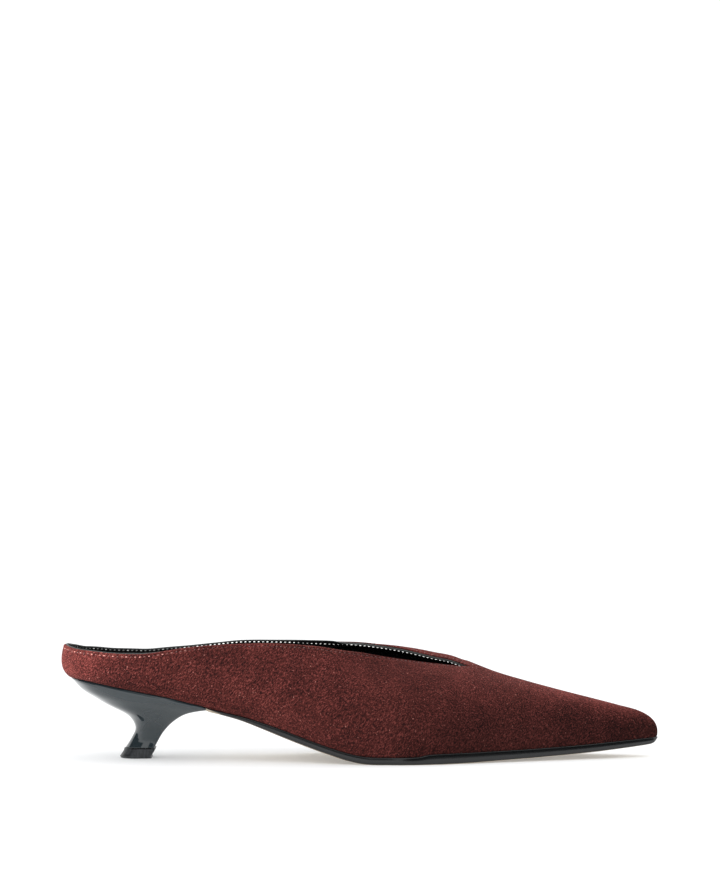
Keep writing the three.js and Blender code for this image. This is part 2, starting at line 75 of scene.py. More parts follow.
# Feather line in plan: distances from the long axis, as shares of the width there, which goes from
# the seat's to the ball's as toBall goes from 0 to 1.
OUTLINE = table("""
at lateral medial toBall
0 0 0 0
0.01 0.2 0.2 0
0.03 0.338 0.338 0
0.06 0.412 0.412 0
0.1 0.454 0.452 0
0.16 0.47 0.456 0
0.22 0.452 0.402 0.08
0.28 0.428 0.338 0.25
0.34 0.433 0.31 0.45
0.4 0.456 0.323 0.65
0.46 0.481 0.368 0.85
0.51 0.494 0.418 1
0.56 0.508 0.468 1
0.61 0.483 0.492 1
0.66 0.429 0.473 1
0.72 0.351 0.415 1
0.78 0.274 0.343 1
0.84 0.199 0.277 1
0.9 0.122 0.216 1
0.94 0.065 0.172 1
0.97 0.021 0.14 1
0.985 -0.003 0.118 1
0.995 -0.023 0.096 1
1 -0.058 0.058 1
""")

# Feather line from the side: rise is a share of the seat's height, spring of the toe spring, sole
# of the sole's thickness and lip of the sole's lip.
PROFILE = table("""
at rise spring sole lip
0 1 0 0 1
0.023 0.987 0 0 1
0.05 0.955 0 0 1
0.08 0.912 0 0 1
0.13 0.842 0 0 1
0.184 0.762 0 0 1
0.21 0.702 0 0.12 1
0.233 0.632 0 0.42 1
0.266 0.567 0 0.44 1
0.293 0.511 0 0.56 1
0.323 0.429 0 0.78 1
0.353 0.342 0 0.94 1
0.382 0.261 0 1 1
0.412 0.182 0 1 1
0.442 0.109 0 1 1
0.472 0.045 0 1.01 1
0.495 0.012 0 1.01 1
0.52 0 0 0.99 1
0.585 0 0 1.03 1
0.612 0 0 1.36 1
0.65 0 0.01 1.41 1
0.73 0 0.14 1.29 1
0.8 0 0.28 1.2 1
0.865 0 0.45 1.13 1
0.936 0 0.7 1.04 0.8
0.974 0 0.86 0.94 0.5
1 0 1 0.86 0
""")

# Topline, from the back to the throat: how far a rib's top lies ahead of its foot, its distances
# from the long axis, and its heights above the pitch that the seat gives.
TOPLINE = table("""
at forward lateral medial lateralTop medialTop
0 -0.0105 0 0 0.304 0.304
0.01 -0.0101 0.21 0.21 0.29 0.284
0.03 -0.0094 0.358 0.358 0.28 0.262
0.06 -0.0067 0.458 0.458 0.284 0.262
0.1 -0.003 0.514 0.508 0.311 0.291
0.13 -0.0011 0.524 0.512 0.354 0.331
0.16 0 0.524 0.5 0.426 0.398
0.2 0 0.494 0.457 0.538 0.496
0.24 0 0.46 0.411 0.644 0.606
0.29 0 0.42 0.367 0.768 0.744
0.34 0 0.392 0.342 0.877 0.851
0.39 0 0.367 0.326 0.954 0.938
0.44 0 0.329 0.299 0.988 0.997
0.49 0 0.278 0.257 0.982 1.024
0.54 0 0.224 0.206 0.942 0.999
0.58 0 0.173 0.156 0.906 0.961
0.62 0 0.12 0.097 0.874 0.914
0.65 0.0004 0.0775 0.044 0.852 0.884
0.67 0.0011 0.05 0.002 0.838 0.848
0.68 0.0019 0.028 -0.028 0.836 0.836
""")

# Ridge of the vamp, from the throat to above the toe. tilt is the slope across it.
RIDGE = table("""
at forward centre top tilt
0.68 0.0019 -0.028 0.836 0.31
0.72 0.0004 -0.017 0.768 0.22
0.78 -0.0037 0.003 0.688 0.13
0.84 -0.0075 0.021 0.61 0.08
0.9 -0.0131 0.037 0.537 0.04
0.94 -0.0195 0.047 0.491 0.02
0.97 -0.0292 0.054 0.462 0.01
1 -0.0412 0.058 0.437 0
""")

# Angles at which the ribs meet the topline, in degrees.
LEAN = table("""
at lateral medial
0 76 76
0.06 80 80
0.16 84 84
0.24 82 84
0.34 74 78
0.44 56 44
0.5 40 4
0.56 28 -14
0.62 20 -20
0.68 17 -19
""")

# Shape of the ribs: the angles at which they leave the feather line, the lengths of their handles,
# and how far they turn from square to the feather line towards their own top.
WALL = table("""
at lateralFlare medialFlare lowPull highPull aim
0 32 32 0.42 0.34 0
0.06 36 36 0.4 0.34 0
0.16 48 50 0.36 0.34 0
0.24 56 62 0.36 0.36 0
0.34 60 68 0.36 0.38 0
0.44 66 70 0.38 0.4 0
0.5 72 72 0.4 0.42 0
0.56 78 76 0.42 0.44 0.2
0.62 82 80 0.42 0.46 0.6
0.68 86 84 0.44 0.46 1
0.78 92 90 0.46 0.46 1
0.9 94 92 0.48 0.46 1
0.96 90 90 0.46 0.48 1
1 80 80 0.4 0.5 1
""")

# Sections of the heel from the seat down: backs and fronts along the seat, their heights, half
# widths, how much of the seat's outline is left, and the breast's width and hollow.
HEEL = table("""
back backUp front frontUp seat tip square breast hollow
0.019 0.97 0.999 0.575 0.49 0 1 1 0
0.084 0.831 0.92 0.552 0.43 0.02 0.7 0.98 0.01
0.168 0.722 0.846 0.514 0.358 0.06 0.35 0.94 0.021
0.267 0.606 0.786 0.453 0.282 0.12 0.12 0.88 0.029
0.376 0.498 0.733 0.372 0.2 0.2 0 0.8 0.029
0.438 0.391 0.696 0.297 0.123 0.28 0 0.76 0.025
0.461 0.272 0.66 0.206 0.0545 0.345 0 0.74 0.019
0.445 0.175 0.636 0.128 0.0185 0.385 0 0.74 0.013
0.423 0.094 0.621 0.075 0.002 0.42 0 0.76 0.01
0.393 0 0.602 0 0 0.465 0 0.78 0.008
""")

# Sections of the heel tip, from the heel down.
TIP = table("""
back front up half
0.385 0.607 1 0.48
0.379 0.599 0.72 0.485
0.353 0.576 0.16 0.5
0.36 0.58 0 0.49
""")

# Soft troughs in the suede: side, the point in the frame that each is centred on, its half lengths
# along X and Z, its turn from upright in degrees, and its depth.
CREASES = table("""
side x z wide tall turn depth
-1 -36 43 5 12 28 0.42
-1 -22 38 4 13 34 0.3
-1 9 41 5 11 -26 0.4
-1 26 33 5 12 -38 0.26
-1 52 31 5 9 30 0.22
1 -30 42 5 12 26 0.36
1 6 40 6 12 -24 0.36
1 40 32 5 10 -32 0.24
""")


def turn_of(share):
    """Position round the feather line, which crowds at both ends, from a share of its length."""
    return np.arccos(1 - 2 * np.asarray(share, float)) / np.pi


def share_of(turn):
    """The share of the length at a turn, by a cosine."""
    return (1 - np.cos(np.pi * turn)) / 2


def through(rows, column, back="level", front="level"):
    """A cubic Hermite curve in turn through a column, whose slopes never overshoot its rows."""
    turns, values = turn_of(rows["at"]), rows[column]
    gap = np.diff(turns)
    rise = np.diff(values) / gap
    before, after = rise[:-1], rise[1:]
    mean = (before * gap[1:] + after * gap[:-1]) / (gap[:-1] + gap[1:])
    steepest = np.minimum(np.minimum(abs(before), abs(after)), abs(mean) / 2)
    inner = (np.sign(before) + np.sign(after)) * steepest
    first = rise[0] if back == "free" else 0
    last = rise[-1] if front == "free" else 0
    slopes = np.concatenate([[first], inner, [last]])

    def curve(turn):
        turn = np.asarray(turn, float)
        i = np.clip(np.searchsorted(turns, turn) - 1, 0, len(gap) - 1)
        s = np.clip((turn - turns[i]) / gap[i], 0, 1)
        low = (1 + 2 * s) * (1 - s) ** 2 * values[i] + s * s * (3 - 2 * s) * values[i + 1]
        return low + gap[i] * s * (1 - s) * ((1 - s) * slopes[i] - s * slopes[i + 1])

    return curve


def spline(values):
    """A natural cubic spline through evenly spaced values: its second derivative is continuous."""
    values = np.asarray(values, float)
    count = len(values)
    system = np.eye(count) * 4 + np.eye(count, k=1) + np.eye(count, k=-1)
    system[0, :2] = system[-1, -2:] = 0
    system[0, 0] = system[-1, -1] = 1
    bends = np.zeros(count)
    bends[1:-1] = 6 * np.diff(values, 2)
    bends = np.linalg.solve(system, bends)

    def curve(at):
        i = np.clip(np.floor(at).astype(int), 0, count - 2)
        s = at - i
        straight = values[i] * (1 - s) + values[i + 1] * s
        low = ((1 - s) ** 3 - (1 - s)) * bends[i]
        return straight + (low + (s**3 - s) * bends[i + 1]) / 6

    return curve


def smooth(value, low, high):
    """0 below low, 1 above high, and a smooth step between."""
    s = np.clip((value - low) / (high - low), 0, 1)
    return s * s * (3 - 2 * s)


def unit(vectors):
    """Vectors made one long; those of no length stay so."""
    return vectors / np.maximum(np.linalg.norm(vectors, axis=-1, keepdims=True), 1e-12)


def stack(*parts):
    """Points from their coordinates, or rows from their columns."""
    return np.stack(np.broadcast_arrays(*parts), axis=-1)


# The drawing


def both(rows, lateral, medial, *ends):
    """A curve in side and turn: the lateral column on its side, the medial one on the other."""
    outer, inner = through(rows, lateral, *ends), through(rows, medial, *ends)

    def curve(side, turn):
        return np.where(side < 0, outer(turn), inner(turn))

    return curve


class Drawing:
    """The feather line, the topline and the ribs between them, as functions of side and turn.

    side is -1 on the lateral side and 1 on the medial side. turn is 0 at the back of the heel and
    1 at the tip of the toe. Points are in the drawing's own place: the back of the seat is at x = 0.
    """

    ball_at = 0.52  # share of the feather line's length at which the pitch ends
    step = 1e-3  # of turn, to each side of a point whose direction is taken

    def __init__(self, sizes):
        self.sizes = sizes
        self.throat = float(turn_of(TOPLINE["at"][-1]))
        self.breast = float(turn_of((sizes.seat_length + sizes.fit_gap) / sizes.feather_length))
        self.across = both(OUTLINE, "lateral", "medial", "free", "free")
        self.rim = both(TOPLINE, "lateral", "medial", "free", "free")
        self.rim_height = both(TOPLINE, "lateralTop", "medialTop", "level", "free")
        self.flare = both(WALL, "lateralFlare", "medialFlare")
        self.lean = both(LEAN, "lateral", "medial")
        self.to_ball = through(OUTLINE, "toBall")
        self.rise = through(PROFILE, "rise")
        self.spring = through(PROFILE, "spring")
        self.sole = through(PROFILE, "sole")
        self.lip = through(PROFILE, "lip")
        self.rim_forward = through(TOPLINE, "forward", "level", "free")
        self.ridge = {name: through(RIDGE, name, "free") for name in RIDGE if name != "at"}
        self.low_pull = through(WALL, "lowPull")
        self.high_pull = through(WALL, "highPull")
        self.aim = through(WALL, "aim")

    def ground(self, turn):
        """The height of the sole's underside: the seat's share and the toe spring's."""
        return self.sizes.seat_height * self.rise(turn) + self.sizes.toe_spring * self.spring(turn)

    def feather(self, turn):
        """The height of the feather line, by the sole's thickness above the ground."""
        return self.ground(turn) + self.sizes.sole_thickness * self.sole(turn)

    def along(self, turn):
        return self.sizes.feather_length * share_of(turn)

    def width(self, turn):
        """The width that the distances from the long axis are shares of."""
        seat, ball = self.sizes.seat_width, self.sizes.ball_width
        return seat + (ball - seat) * self.to_ball(turn)

    def lying(self, side, turn):
        """1 where the topline lies down, towards the throat, and 0 where it stands up."""
        return 1 - smooth(self.lean(side, turn), 15, 60)

    def foot(self, side, turn):
        """A point of the feather line."""
        y = side * self.width(turn) * self.across(side, turn)
        return stack(self.along(turn), y, self.feather(turn))

    def outward(self, side, turn):
        """The level direction out of the shoe, square to the feather line in plan."""
        before = self.foot(side, np.maximum(turn - self.step, 0))
        along = unit((self.foot(side, np.minimum(turn + self.step, 1)) - before)[..., :2])
        return stack(-along[..., 1] * side, along[..., 0] * side, 0.0)

    def ridge_point(self, turn):
        sizes = self.sizes
        x = self.along(turn) + sizes.feather_length * self.ridge["forward"](turn)
        y = sizes.ball_width * self.ridge["centre"](turn)
        return stack(x, y, sizes.side_height * self.ridge["top"](turn))

    def top(self, side, turn):
        """The top of a rib: on the topline, or on the ridge past the throat."""
        sizes = self.sizes
        pitch = (1 + np.cos(np.pi * np.minimum(1, share_of(turn) / self.ball_at))) / 2
        x = self.along(turn) + sizes.feather_length * self.rim_forward(turn)
        y = side * self.width(turn) * self.rim(side, turn)
        z = sizes.seat_height * pitch + sizes.side_height * self.rim_height(side, turn)
        closed = np.broadcast_to(turn >= self.throat, np.shape(z))[..., None]
        return np.where(closed, self.ridge_point(turn), stack(x, y, z))

    def leave_top(self, side, turn, outward):
        """The way a rib leaves its top: at its lean, or in the ridge's own tangent plane."""
        lean = np.radians(self.lean(side, turn))
        open_way = outward * np.cos(lean)[..., None] - stack(0.0, 0.0, np.sin(lean))
        after = self.ridge_point(np.minimum(turn + self.step, 1))
        along = after - self.ridge_point(np.maximum(turn - self.step, self.throat))
        tilt = self.ridge["tilt"](turn)
        slope = (along[..., 2] - tilt * along[..., 1]) / np.maximum(along[..., 0], 1e-9)
        fall = slope * outward[..., 0] + tilt * outward[..., 1]
        closed_way = unit(outward + stack(0.0, 0.0, fall))
        closed = np.broadcast_to(turn >= self.throat, np.shape(fall))[..., None]
        return np.where(closed, closed_way, open_way)

    def ribs(self, side, turn):
        """The four control points of each rib's cubic curve, from the feather line to its top."""
        foot, top = self.foot(side, turn), self.top(side, turn)
        chord = (foot - top) * np.array([1, 1, 0])
        aim = self.aim(turn)[..., None]
        outward = unit(self.outward(side, turn) * (1 - aim) + unit(chord) * aim)
        height = np.linalg.norm(top - foot, axis=-1)
        flare = np.radians(self.flare(side, turn))
        low = outward * np.cos(flare)[..., None] + stack(0.0, 0.0, np.sin(flare))
        high = self.leave_top(side, turn, outward)
        low_handle = foot + low * (height * self.low_pull(turn))[..., None]
        high_handle = top + high * (height * self.high_pull(turn))[..., None]
        return np.stack([foot, low_handle, high_handle, top], axis=-2)


def rib_points(ribs, t):
    """Points at t on cubic curves: (1-t)^3 a + 3(1-t)^2 t b + 3(1-t) t^2 c + t^3 d."""
    a, b, c, d = (ribs[:, None, i] for i in range(4))
    t = t[..., None]
    return (1 - t) ** 3 * a + 3 * t * (1 - t) ** 2 * b + 3 * t * t * (1 - t) * c + t**3 * d


def rib_speed(ribs, t):
    """Length of the curves' first derivative: 3 times that of their quadratic of differences."""
    a, b, c = (np.diff(ribs, axis=1)[:, None, i] for i in range(3))
    t = t[..., None]
    return 3 * np.linalg.norm((1 - t) ** 2 * a + 2 * t * (1 - t) * b + t * t * c, axis=-1)


def below_top(ribs, distance):
    """The t of points at a distance along each rib from its top, by repeated division by speed."""
    t = np.ones_like(distance)
    for _ in range(5):
        t = 1 - distance / rib_speed(ribs, (1 + t) / 2)
    return t


def above_foot(ribs, distance):
    """The t of points at a distance along each rib from its foot, found in the same way."""
    t = np.zeros_like(distance)
    for _ in range(5):
        t = distance / rib_speed(ribs, t / 2)
    return t


# Meshes


class Skin:
    """Grids of points, gathered into one closed mesh. Points that meet are welded."""

    weld = 1e-7  # points this close, in metres, are made one

    def __init__(self):
        self.grids, self.quads, self.marks, self.count = [], [], [], 0

    def grid(self, points, flip=False, mark=0.0):
        """Adds an n by m grid. Unless flipped, its faces look along (next row) x (next column)."""
        rows, columns = points.shape[:2]
        index = np.arange(rows * columns).reshape(rows, columns) + self.count
        corners = [index[:-1, :-1], index[1:, :-1], index[1:, 1:], index[:-1, 1:]]
        quads = np.stack(corners, axis=-1).reshape(-1, 4)
        self.quads.append(quads[:, ::-1] if flip else quads)
        self.grids.append(points)
        self.marks.append(np.broadcast_to(mark, (rows, columns)).ravel())
        self.count += rows * columns

    def welded(self):
        """The points that stay, which of all they are, which one each becomes, and the quads."""
        points = np.concatenate([grid.reshape(-1, 3) for grid in self.grids])
        keys = np.round(points / self.weld).astype(np.int64)
        _, first, index = np.unique(keys, axis=0, return_index=True, return_inverse=True)
        index = index.ravel()
        return points[first], first, index, index[np.concatenate(self.quads)]

    def normals(self):
        """The normal at each point of each grid: the sum of those of the faces round it."""
        points, _, index, quads = self.welded()
        diagonals = points[quads[:, 2:]] - points[quads[:, :2]]
        face = np.cross(diagonals[:, 0], diagonals[:, 1])
        total = np.zeros_like(points)
        for corner in quads.T:
            np.add.at(total, corner, face)
        each = unit(total)[index]
        sizes = np.cumsum([grid.shape[0] * grid.shape[1] for grid in self.grids])[:-1]
        return [part.reshape(grid.shape) for part, grid in zip(np.split(each, sizes), self.grids)]

    def build(self, name, finish, shift=(0, 0, 0)):
        """Makes the object. A quad with two corners welded is a triangle, and with more it goes."""
        points, first, _, quads = self.welded()
        keep = quads != np.roll(quads, -1, axis=1)
        corners = keep.sum(axis=1)
        triangles = quads[corners == 3][keep[corners == 3]].reshape(-1, 3)
        faces = quads[corners == 4].tolist() + triangles.tolist()
        mesh = bpy.data.meshes.new(name)
        mesh.from_pydata((points + shift).tolist(), [], faces)
        mark = mesh.attributes.new("mark", "FLOAT", "POINT")
        mark.data.foreach_set("value", np.concatenate(self.marks)[first].astype(np.float32))
        mesh.shade_smooth()
        mesh.materials.append(finish)
        piece = bpy.data.objects.new(name, mesh)
        bpy.context.scene.collection.objects.link(piece)
        return piece

    def make(self, name, finish, slot, node=None, shift=(0, 0, 0)):
        """Builds a piece of the shoe, rides it on the one body and hides the CAD part that it stands
        for.
        """
        piece = self.build(name, finish, shift)
        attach(piece, "root")
        if node:
            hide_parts(node)


def stations(drawing, open_ribs, vamp_ribs):
    """Turns of the ribs on one side, from the back to the throat and on to the toe."""
    back = np.linspace(0, drawing.throat, open_ribs + 1)
    return np.concatenate([back, np.linspace(drawing.throat, 1, vamp_ribs + 1)[1:]])


def shift_of(sizes):
    """From the drawing's place to the frame: the heel starts fit_gap ahead of the back of the seat,
    and the heel tip is evenly across the long axis."""
    low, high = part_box("top_lift")
    return np.array([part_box("heel")[0].x - sizes.fit_gap, (low.y + high.y) / 2, 0.0])


# Upper: suede and lining


def crease_depth(points, side):
    """A sum of Gaussian troughs over X and Z, each turned in that plane."""
    total = np.zeros(points.shape[:-1])
    for crease_side, x, z, wide, tall, turn, depth in zip(*CREASES.values()):
        if crease_side == side:
            cos, sin = np.cos(np.radians(turn)), np.sin(np.radians(turn))
            dx, dz = points[..., 0] - x * MM, points[..., 2] - z * MM
            u, v = (dx * cos - dz * sin) / (wide * MM), (dx * sin + dz * cos) / (tall * MM)
            total += depth * MM * np.exp(-u * u - v * v)
    return total


class Wall:
    """The upper's outer face as a grid on each side: ribs across turns, rows from foot to top.

    Its rows crowd at the foot, where the suede turns under, and at the topline, where the seam and
    the rounded rim are. An offset of the grid along its own normals gives each layer's faces.
    """

    open_ribs, vamp_ribs, body_rows = 220, 140, 32
    zone = 4.0 * MM  # the part below the topline that has close rows
    rim = 0.85 * MM  # height of the rounded rim
    rim_end = 0.022  # of turn before the throat, over which the rim ceases to be rounded
    rolled_to, flat_from = 0.12, 0.2  # shares of the length, for the lining's roll on the outer side
    seam = 1.6 * MM  # the seam, below the topline
    seam_width = 0.38 * MM  # half width of its groove
    near_rim = np.array([1, 0.8, 0.62, 0.5, 0.41, 0.345, 0.29, 0.238, 0.19, 0.145, 0.08, 0])
    near_foot = np.array([0, 0.1, 0.25, 0.45, 0.7, 1.0]) * MM
    far = 1.0  # a distance that is written where a point is far from the foot or the topline

    def __init__(self, drawing, shift):
        self.drawing = drawing
        self.turns = stations(drawing, self.open_ribs, self.vamp_ribs)
        self.open = slice(0, self.open_ribs + 1)
        # How far the rim is rounded: fully, but for the last stretch before the throat.
        self.ramp = smooth(drawing.throat - self.turns, 0.0, self.rim_end)
        lean = {side: drawing.lean(side, self.turns) for side in (-1, 1)}
        slant = {side: 1 / np.tan(np.radians(np.maximum(lean[side], 40))) for side in lean}
        # How much the rim rises for its depth into the wall, so that its top stays level.
        self.rise = {side: slant[side] * smooth(lean[side], 15, 45) for side in lean}
        self.lying = {side: drawing.lying(side, self.turns) for side in lean}
        # 1 where the lining rolls over the topline: all round, but for the outer side's front.
        ahead = smooth(share_of(self.turns), self.rolled_to, self.flat_from)
        self.rolled = {-1: 1 - ahead, 1: np.ones_like(ahead)}
        self.ribs, self.grids, self.heights, self.feet = {}, {}, {}, {}
        skin = Skin()
        start = self.rim * self.ramp[:, None]
        down = start + (self.zone - start) * self.near_rim
        up = np.broadcast_to(self.near_foot, (len(self.turns), len(self.near_foot)))
        share = np.linspace(0, 1, self.body_rows)[1:-1]
        blank = np.full((len(self.turns), len(share)), self.far)
        for side in (-1, 1):
            ribs = drawing.ribs(side, self.turns)
            if side > 0:
                ribs[[0, -1]] = self.ribs[-1][[0, -1]]
            top_rows, foot_rows = below_top(ribs, down), above_foot(ribs, up)
            body = foot_rows[:, -1:] * (1 - share) + top_rows[:, :1] * share
            t = np.concatenate([foot_rows, body, top_rows], axis=1)
            self.ribs[side] = ribs
            self.grids[side] = rib_points(ribs, t)
            self.heights[side] = np.concatenate([np.full_like(up, self.far), blank, down], axis=1)
            self.feet[side] = np.concatenate([up, blank, np.full_like(down, self.far)], axis=1)
            skin.grid(self.grids[side], flip=side > 0)
        self.normals = dict(zip((-1, 1), skin.normals()))
        for side in (-1, 1):
            depth = crease_depth(self.grids[side] + shift, side)
            self.grids[side] = self.grids[side] - self.normals[side] * depth[..., None]

    def layer(self, side, depth):
        """The outer face moved inwards by a depth, which may differ from point to point."""
        depth = np.broadcast_to(depth, self.grids[side].shape[:2])[..., None]
        return self.grids[side] - self.normals[side] * depth

    def thinned(self, side, depth):
        """A layer with a third of the rows, for faces that are hidden."""
        face = self.layer(side, depth)
        return np.concatenate([face[:, :-1:3], face[:, -1:]], axis=1)

    def split(self, side):
        """Depth of the joint of suede and lining: the suede is pared where the rim lies down."""
        thick, pared = 0.95 * MM, 0.5 * MM
        near_top = 1 - smooth(self.heights[side], 1.0 * MM, 3.4 * MM)
        return thick - pared * self.lying[side][:, None] * near_top

    def edge(self, side, down, depth):
        """Points at distances below the topline and depths into the wall, on the open ribs."""
        ribs = self.ribs[side][self.open]
        down = down * self.ramp[self.open, None]
        points = rib_points(ribs, below_top(ribs, down))
        up = unit(ribs[:, 3] - ribs[:, 2])[:, None]
        lift = (self.rise[side] * self.ramp)[self.open, None] * depth
        return points - self.normals[side][self.open, -1:] * depth[..., None] + up * lift[..., None]

    def groove(self, side):
        """Depth of the stitched seam's groove, of 0 to 1: a bell curve about its line."""
        bell = np.exp(-(((self.heights[side] - self.seam) / self.seam_width) ** 2))
        return bell * self.ramp[:, None]


def make_suede(wall, finish, shift):
    """Suede: the outer face from its tucked foot over the outer part of the rounded rim."""
    foot, tuck_depth, groove_depth, stop = 0.9 * MM, 0.2 * MM, 0.16 * MM, 0.3 * MM
    angle = np.radians(np.linspace(0, 90, 8))
    skin = Skin()
    for side in (-1, 1):
        thick = wall.split(side)
        tuck = tuck_depth * np.clip(1 - wall.feet[side] / foot, 0, 1) ** 2
        face = wall.layer(side, tuck + groove_depth * wall.groove(side))
        inside = wall.thinned(side, thick)
        round_off = stop + (wall.rim - stop) * (1 - np.sin(angle))
        cap = wall.edge(side, round_off, thick[wall.open, -1:] * (1 - np.cos(angle)))
        cap[:, 0] = face[wall.open, -1]
        drop = np.stack([cap[:, -1], inside[wall.open, -1]], axis=1)
        under = np.stack([inside[:, 0], face[:, 0]], axis=1)
        for part in (face, cap, drop, under):
            skin.grid(part, flip=side > 0)
        skin.grid(inside, flip=side < 0)
    skin.make("suede_upper", finish, "suede", "upper", shift)


def make_lining(wall, finish, shift):
    """Lining: the inner layer of the wall, which turns half a circle at the top of the joint.

    Where it is rolled it reaches the topline, and elsewhere it stays lower. mark goes as the sine
    of the angle on the roll, whose crest is painted.
    """
    far = wall.drawing.sizes.upper_wall
    groove_depth, joint, lower, outer_height = 0.14 * MM, 0.05 * MM, 0.6 * MM, 0.5 * MM
    angle = np.radians(np.linspace(0, 180, 19))
    height = np.where(angle < np.pi / 2, outer_height, wall.rim)
    skin = Skin()
    for side in (-1, 1):
        face = wall.layer(side, far - groove_depth * wall.groove(side))
        near = wall.split(side) + joint
        hidden = wall.thinned(side, near)
        rolled = wall.rolled[side][wall.open, None]
        down = height * (1 - np.sin(angle)) + lower * (1 - rolled) * np.sin(angle)
        start = near[wall.open, -1:]
        depth = start + (far - start) * (1 - np.cos(angle)) / 2
        roll = wall.edge(side, np.minimum(down, wall.rim), depth)
        roll[:, -1] = face[wall.open, -1]
        step = np.stack([hidden[wall.open, -1], roll[:, 0]], axis=1)
        under = np.stack([face[:, 0], hidden[:, 0]], axis=1)
        skin.grid(hidden, flip=side > 0)
        skin.grid(step, flip=side > 0)
        skin.grid(roll, flip=side > 0, mark=np.sin(angle) * rolled)
        skin.grid(face, flip=side < 0)
        skin.grid(under, flip=side > 0)
    skin.make("lining", finish, "lining", shift=shift)


# Thread


def seam_path(drawing, line):
    """The seam's line once round the topline, with the wall's normal at each point.

    line gives its distance below the topline and its depth into the wall, for a side and turns.
    Round the throat it is a quarter of an ellipse on each side, which meets the ridge ahead of it.
    """
    ahead = 0.0074  # of turn, from the throat to the front of the seam
    count, step = 900, 2e-4  # points on a side, and the turn to each side that gives a direction
    turns = np.linspace(0, drawing.throat, count)
    angle = np.linspace(0, np.pi / 2, 40)[1:]
    turns = np.concatenate([turns, drawing.throat + ahead * np.sin(angle)])
    fall = np.concatenate([np.ones(count), np.maximum(np.cos(angle), 1e-3)])
    halves = []
    for side in (-1, 1):

        def place(turn, distance):
            ribs = drawing.ribs(side, turn)
            return rib_points(ribs, below_top(ribs, distance[:, None]))[:, 0]

        down, depth = line(side, turns)
        distance = fall * down
        before, after = np.clip(turns - step, 0, 1), np.clip(turns + step, 0, 1)
        along = place(after, distance) - place(before, distance)
        up = place(turns, distance * 0.9) - place(turns, distance * 1.1)
        normal = unit(np.cross(along, up)) * -side
        halves.append(np.stack([place(turns, distance) - normal * depth[:, None], normal]))
    return np.concatenate([halves[0][:, ::-1], halves[1][:, 1:]], axis=1)


def stitch_row(points, normals, sizes):
    """Stitches at an even pitch along a line: each a flattened spindle whose ends dip below it.

    Its girth goes as the root of 1 - |u|^3, and its middle sinks as u^2, for u of -1 to 1.
    """
    lift, flat, dip = 0.02 * MM, 0.75, 0.9  # flat and dip are shares of the radius
    gaps = np.linalg.norm(np.diff(points, axis=0), axis=1)
    length = np.concatenate([[0], np.cumsum(gaps)])
    count = int(round(length[-1] / sizes.stitch_pitch))
    at = (np.arange(count) + 0.5) * length[-1] / count

    def sample(values, where):
        return np.stack([np.interp(where, length, column) for column in values.T], axis=-1)

    centre, normal = sample(points, at), unit(sample(normals, at))
    half, radius = sizes.stitch_length / 2, sizes.thread_width / 2
    ahead = unit(sample(points, at + half) - sample(points, at - half))
    normal = unit(normal - ahead * np.sum(ahead * normal, axis=1, keepdims=True))
    u = np.linspace(-1, 1, 7)[:, None]
    v = np.linspace(0, 2 * np.pi, 7)
    girth = radius * np.sqrt(np.maximum(1 - np.abs(u) ** 3, 0))
    forward = u * half + 0 * v
    sideways = girth * np.cos(v)
    upward = flat * girth * np.sin(v) - dip * radius * u**2 + lift
    local = stack(forward, sideways, upward)
    axes = np.stack([ahead, np.cross(ahead, normal), normal], axis=1)
    return centre[:, None, None] + np.einsum("uvk,skx->suvx", local, axes)


def make_thread(name, points, normals, sizes, finish, shift):
    """A row of stitches. Steps by the golden section give each its own mark."""
    skin = Skin()
    grids = stitch_row(points, normals, sizes)
    marks = np.modf(np.arange(len(grids)) * 0.618034)[0]
    for grid, mark in zip(grids, marks):
        skin.grid(grid, mark=mark)
    skin.make(name, finish, "thread", shift=shift)


# Footbed and sole


def wall_inset(drawing, side, turn, height, clearance):
    """How far inside the feather line the wall's inner face is, at a height, by halving."""
    ribs = drawing.ribs(side, turn)
    foot, outward = drawing.foot(side, turn), drawing.outward(side, turn)
    depth = drawing.sizes.upper_wall + clearance

    def inner(t):
        before, after = (rib_points(ribs, (t + step)[:, None])[:, 0] for step in (-1e-4, 1e-4))
        way = unit(after - before)
        level = np.sum(way * outward, axis=1)
        inward = unit(-outward * way[:, 2:] + stack(0.0, 0.0, level))
        return (before + after) / 2 + inward * depth - foot

    start = inner(np.zeros(len(turn)))
    flare = np.radians(drawing.flare(side, turn))
    low_case = depth / np.sin(flare) - height / np.tan(flare)
    low, high = np.zeros(len(turn)), np.full(len(turn), 0.5)
    for _ in range(24):
        middle = (low + high) / 2
        under = inner(middle)[:, 2] < height
        low, high = np.where(under, middle, low), np.where(under, high, middle)
    found = -np.sum(inner(low) * outward, axis=1)
    return np.where(start[:, 2] >= height, low_case, found)


def inset_foot(drawing, side, turn, inset, height):
    """The feather line moved inwards in plan: a row to a turn, a column to an inset and height."""
    outward = drawing.outward(side, turn)[:, None]
    point = drawing.foot(side, turn)[:, None] - outward * inset[..., None]
    return stack(point[..., 0], point[..., 1], height)


def across(lateral, medial, steps, dip=0.0):
    """Strips between two edges: straight lines, lowered along them by a parabola of depth dip."""
    v = np.linspace(0, 1, steps)[None, :, None]
    edges = np.atleast_2d(lateral)[:, None], np.atleast_2d(medial)[:, None]
    grid = edges[0] * (1 - v) + edges[1] * v
    grid[..., 2] -= dip * 4 * (v * (1 - v))[..., 0]
    return grid


def slab(edges, steps, dip=0.0, edge_mark=0.0, top_mark=0.0):
    """A plate: its two edges, and the top, underside and ends that go straight across."""
    skin = Skin()
    lateral, medial = edges[-1], edges[1]
    skin.grid(lateral, mark=edge_mark)
    skin.grid(medial, flip=True, mark=edge_mark)
    skin.grid(across(lateral[:, -1], medial[:, -1], steps, dip), mark=top_mark)
    skin.grid(across(lateral[:, 0], medial[:, 0], steps), flip=True)
    for end in (0, -1):
        skin.grid(across(lateral[end], medial[end], steps), flip=end == 0)
    return skin


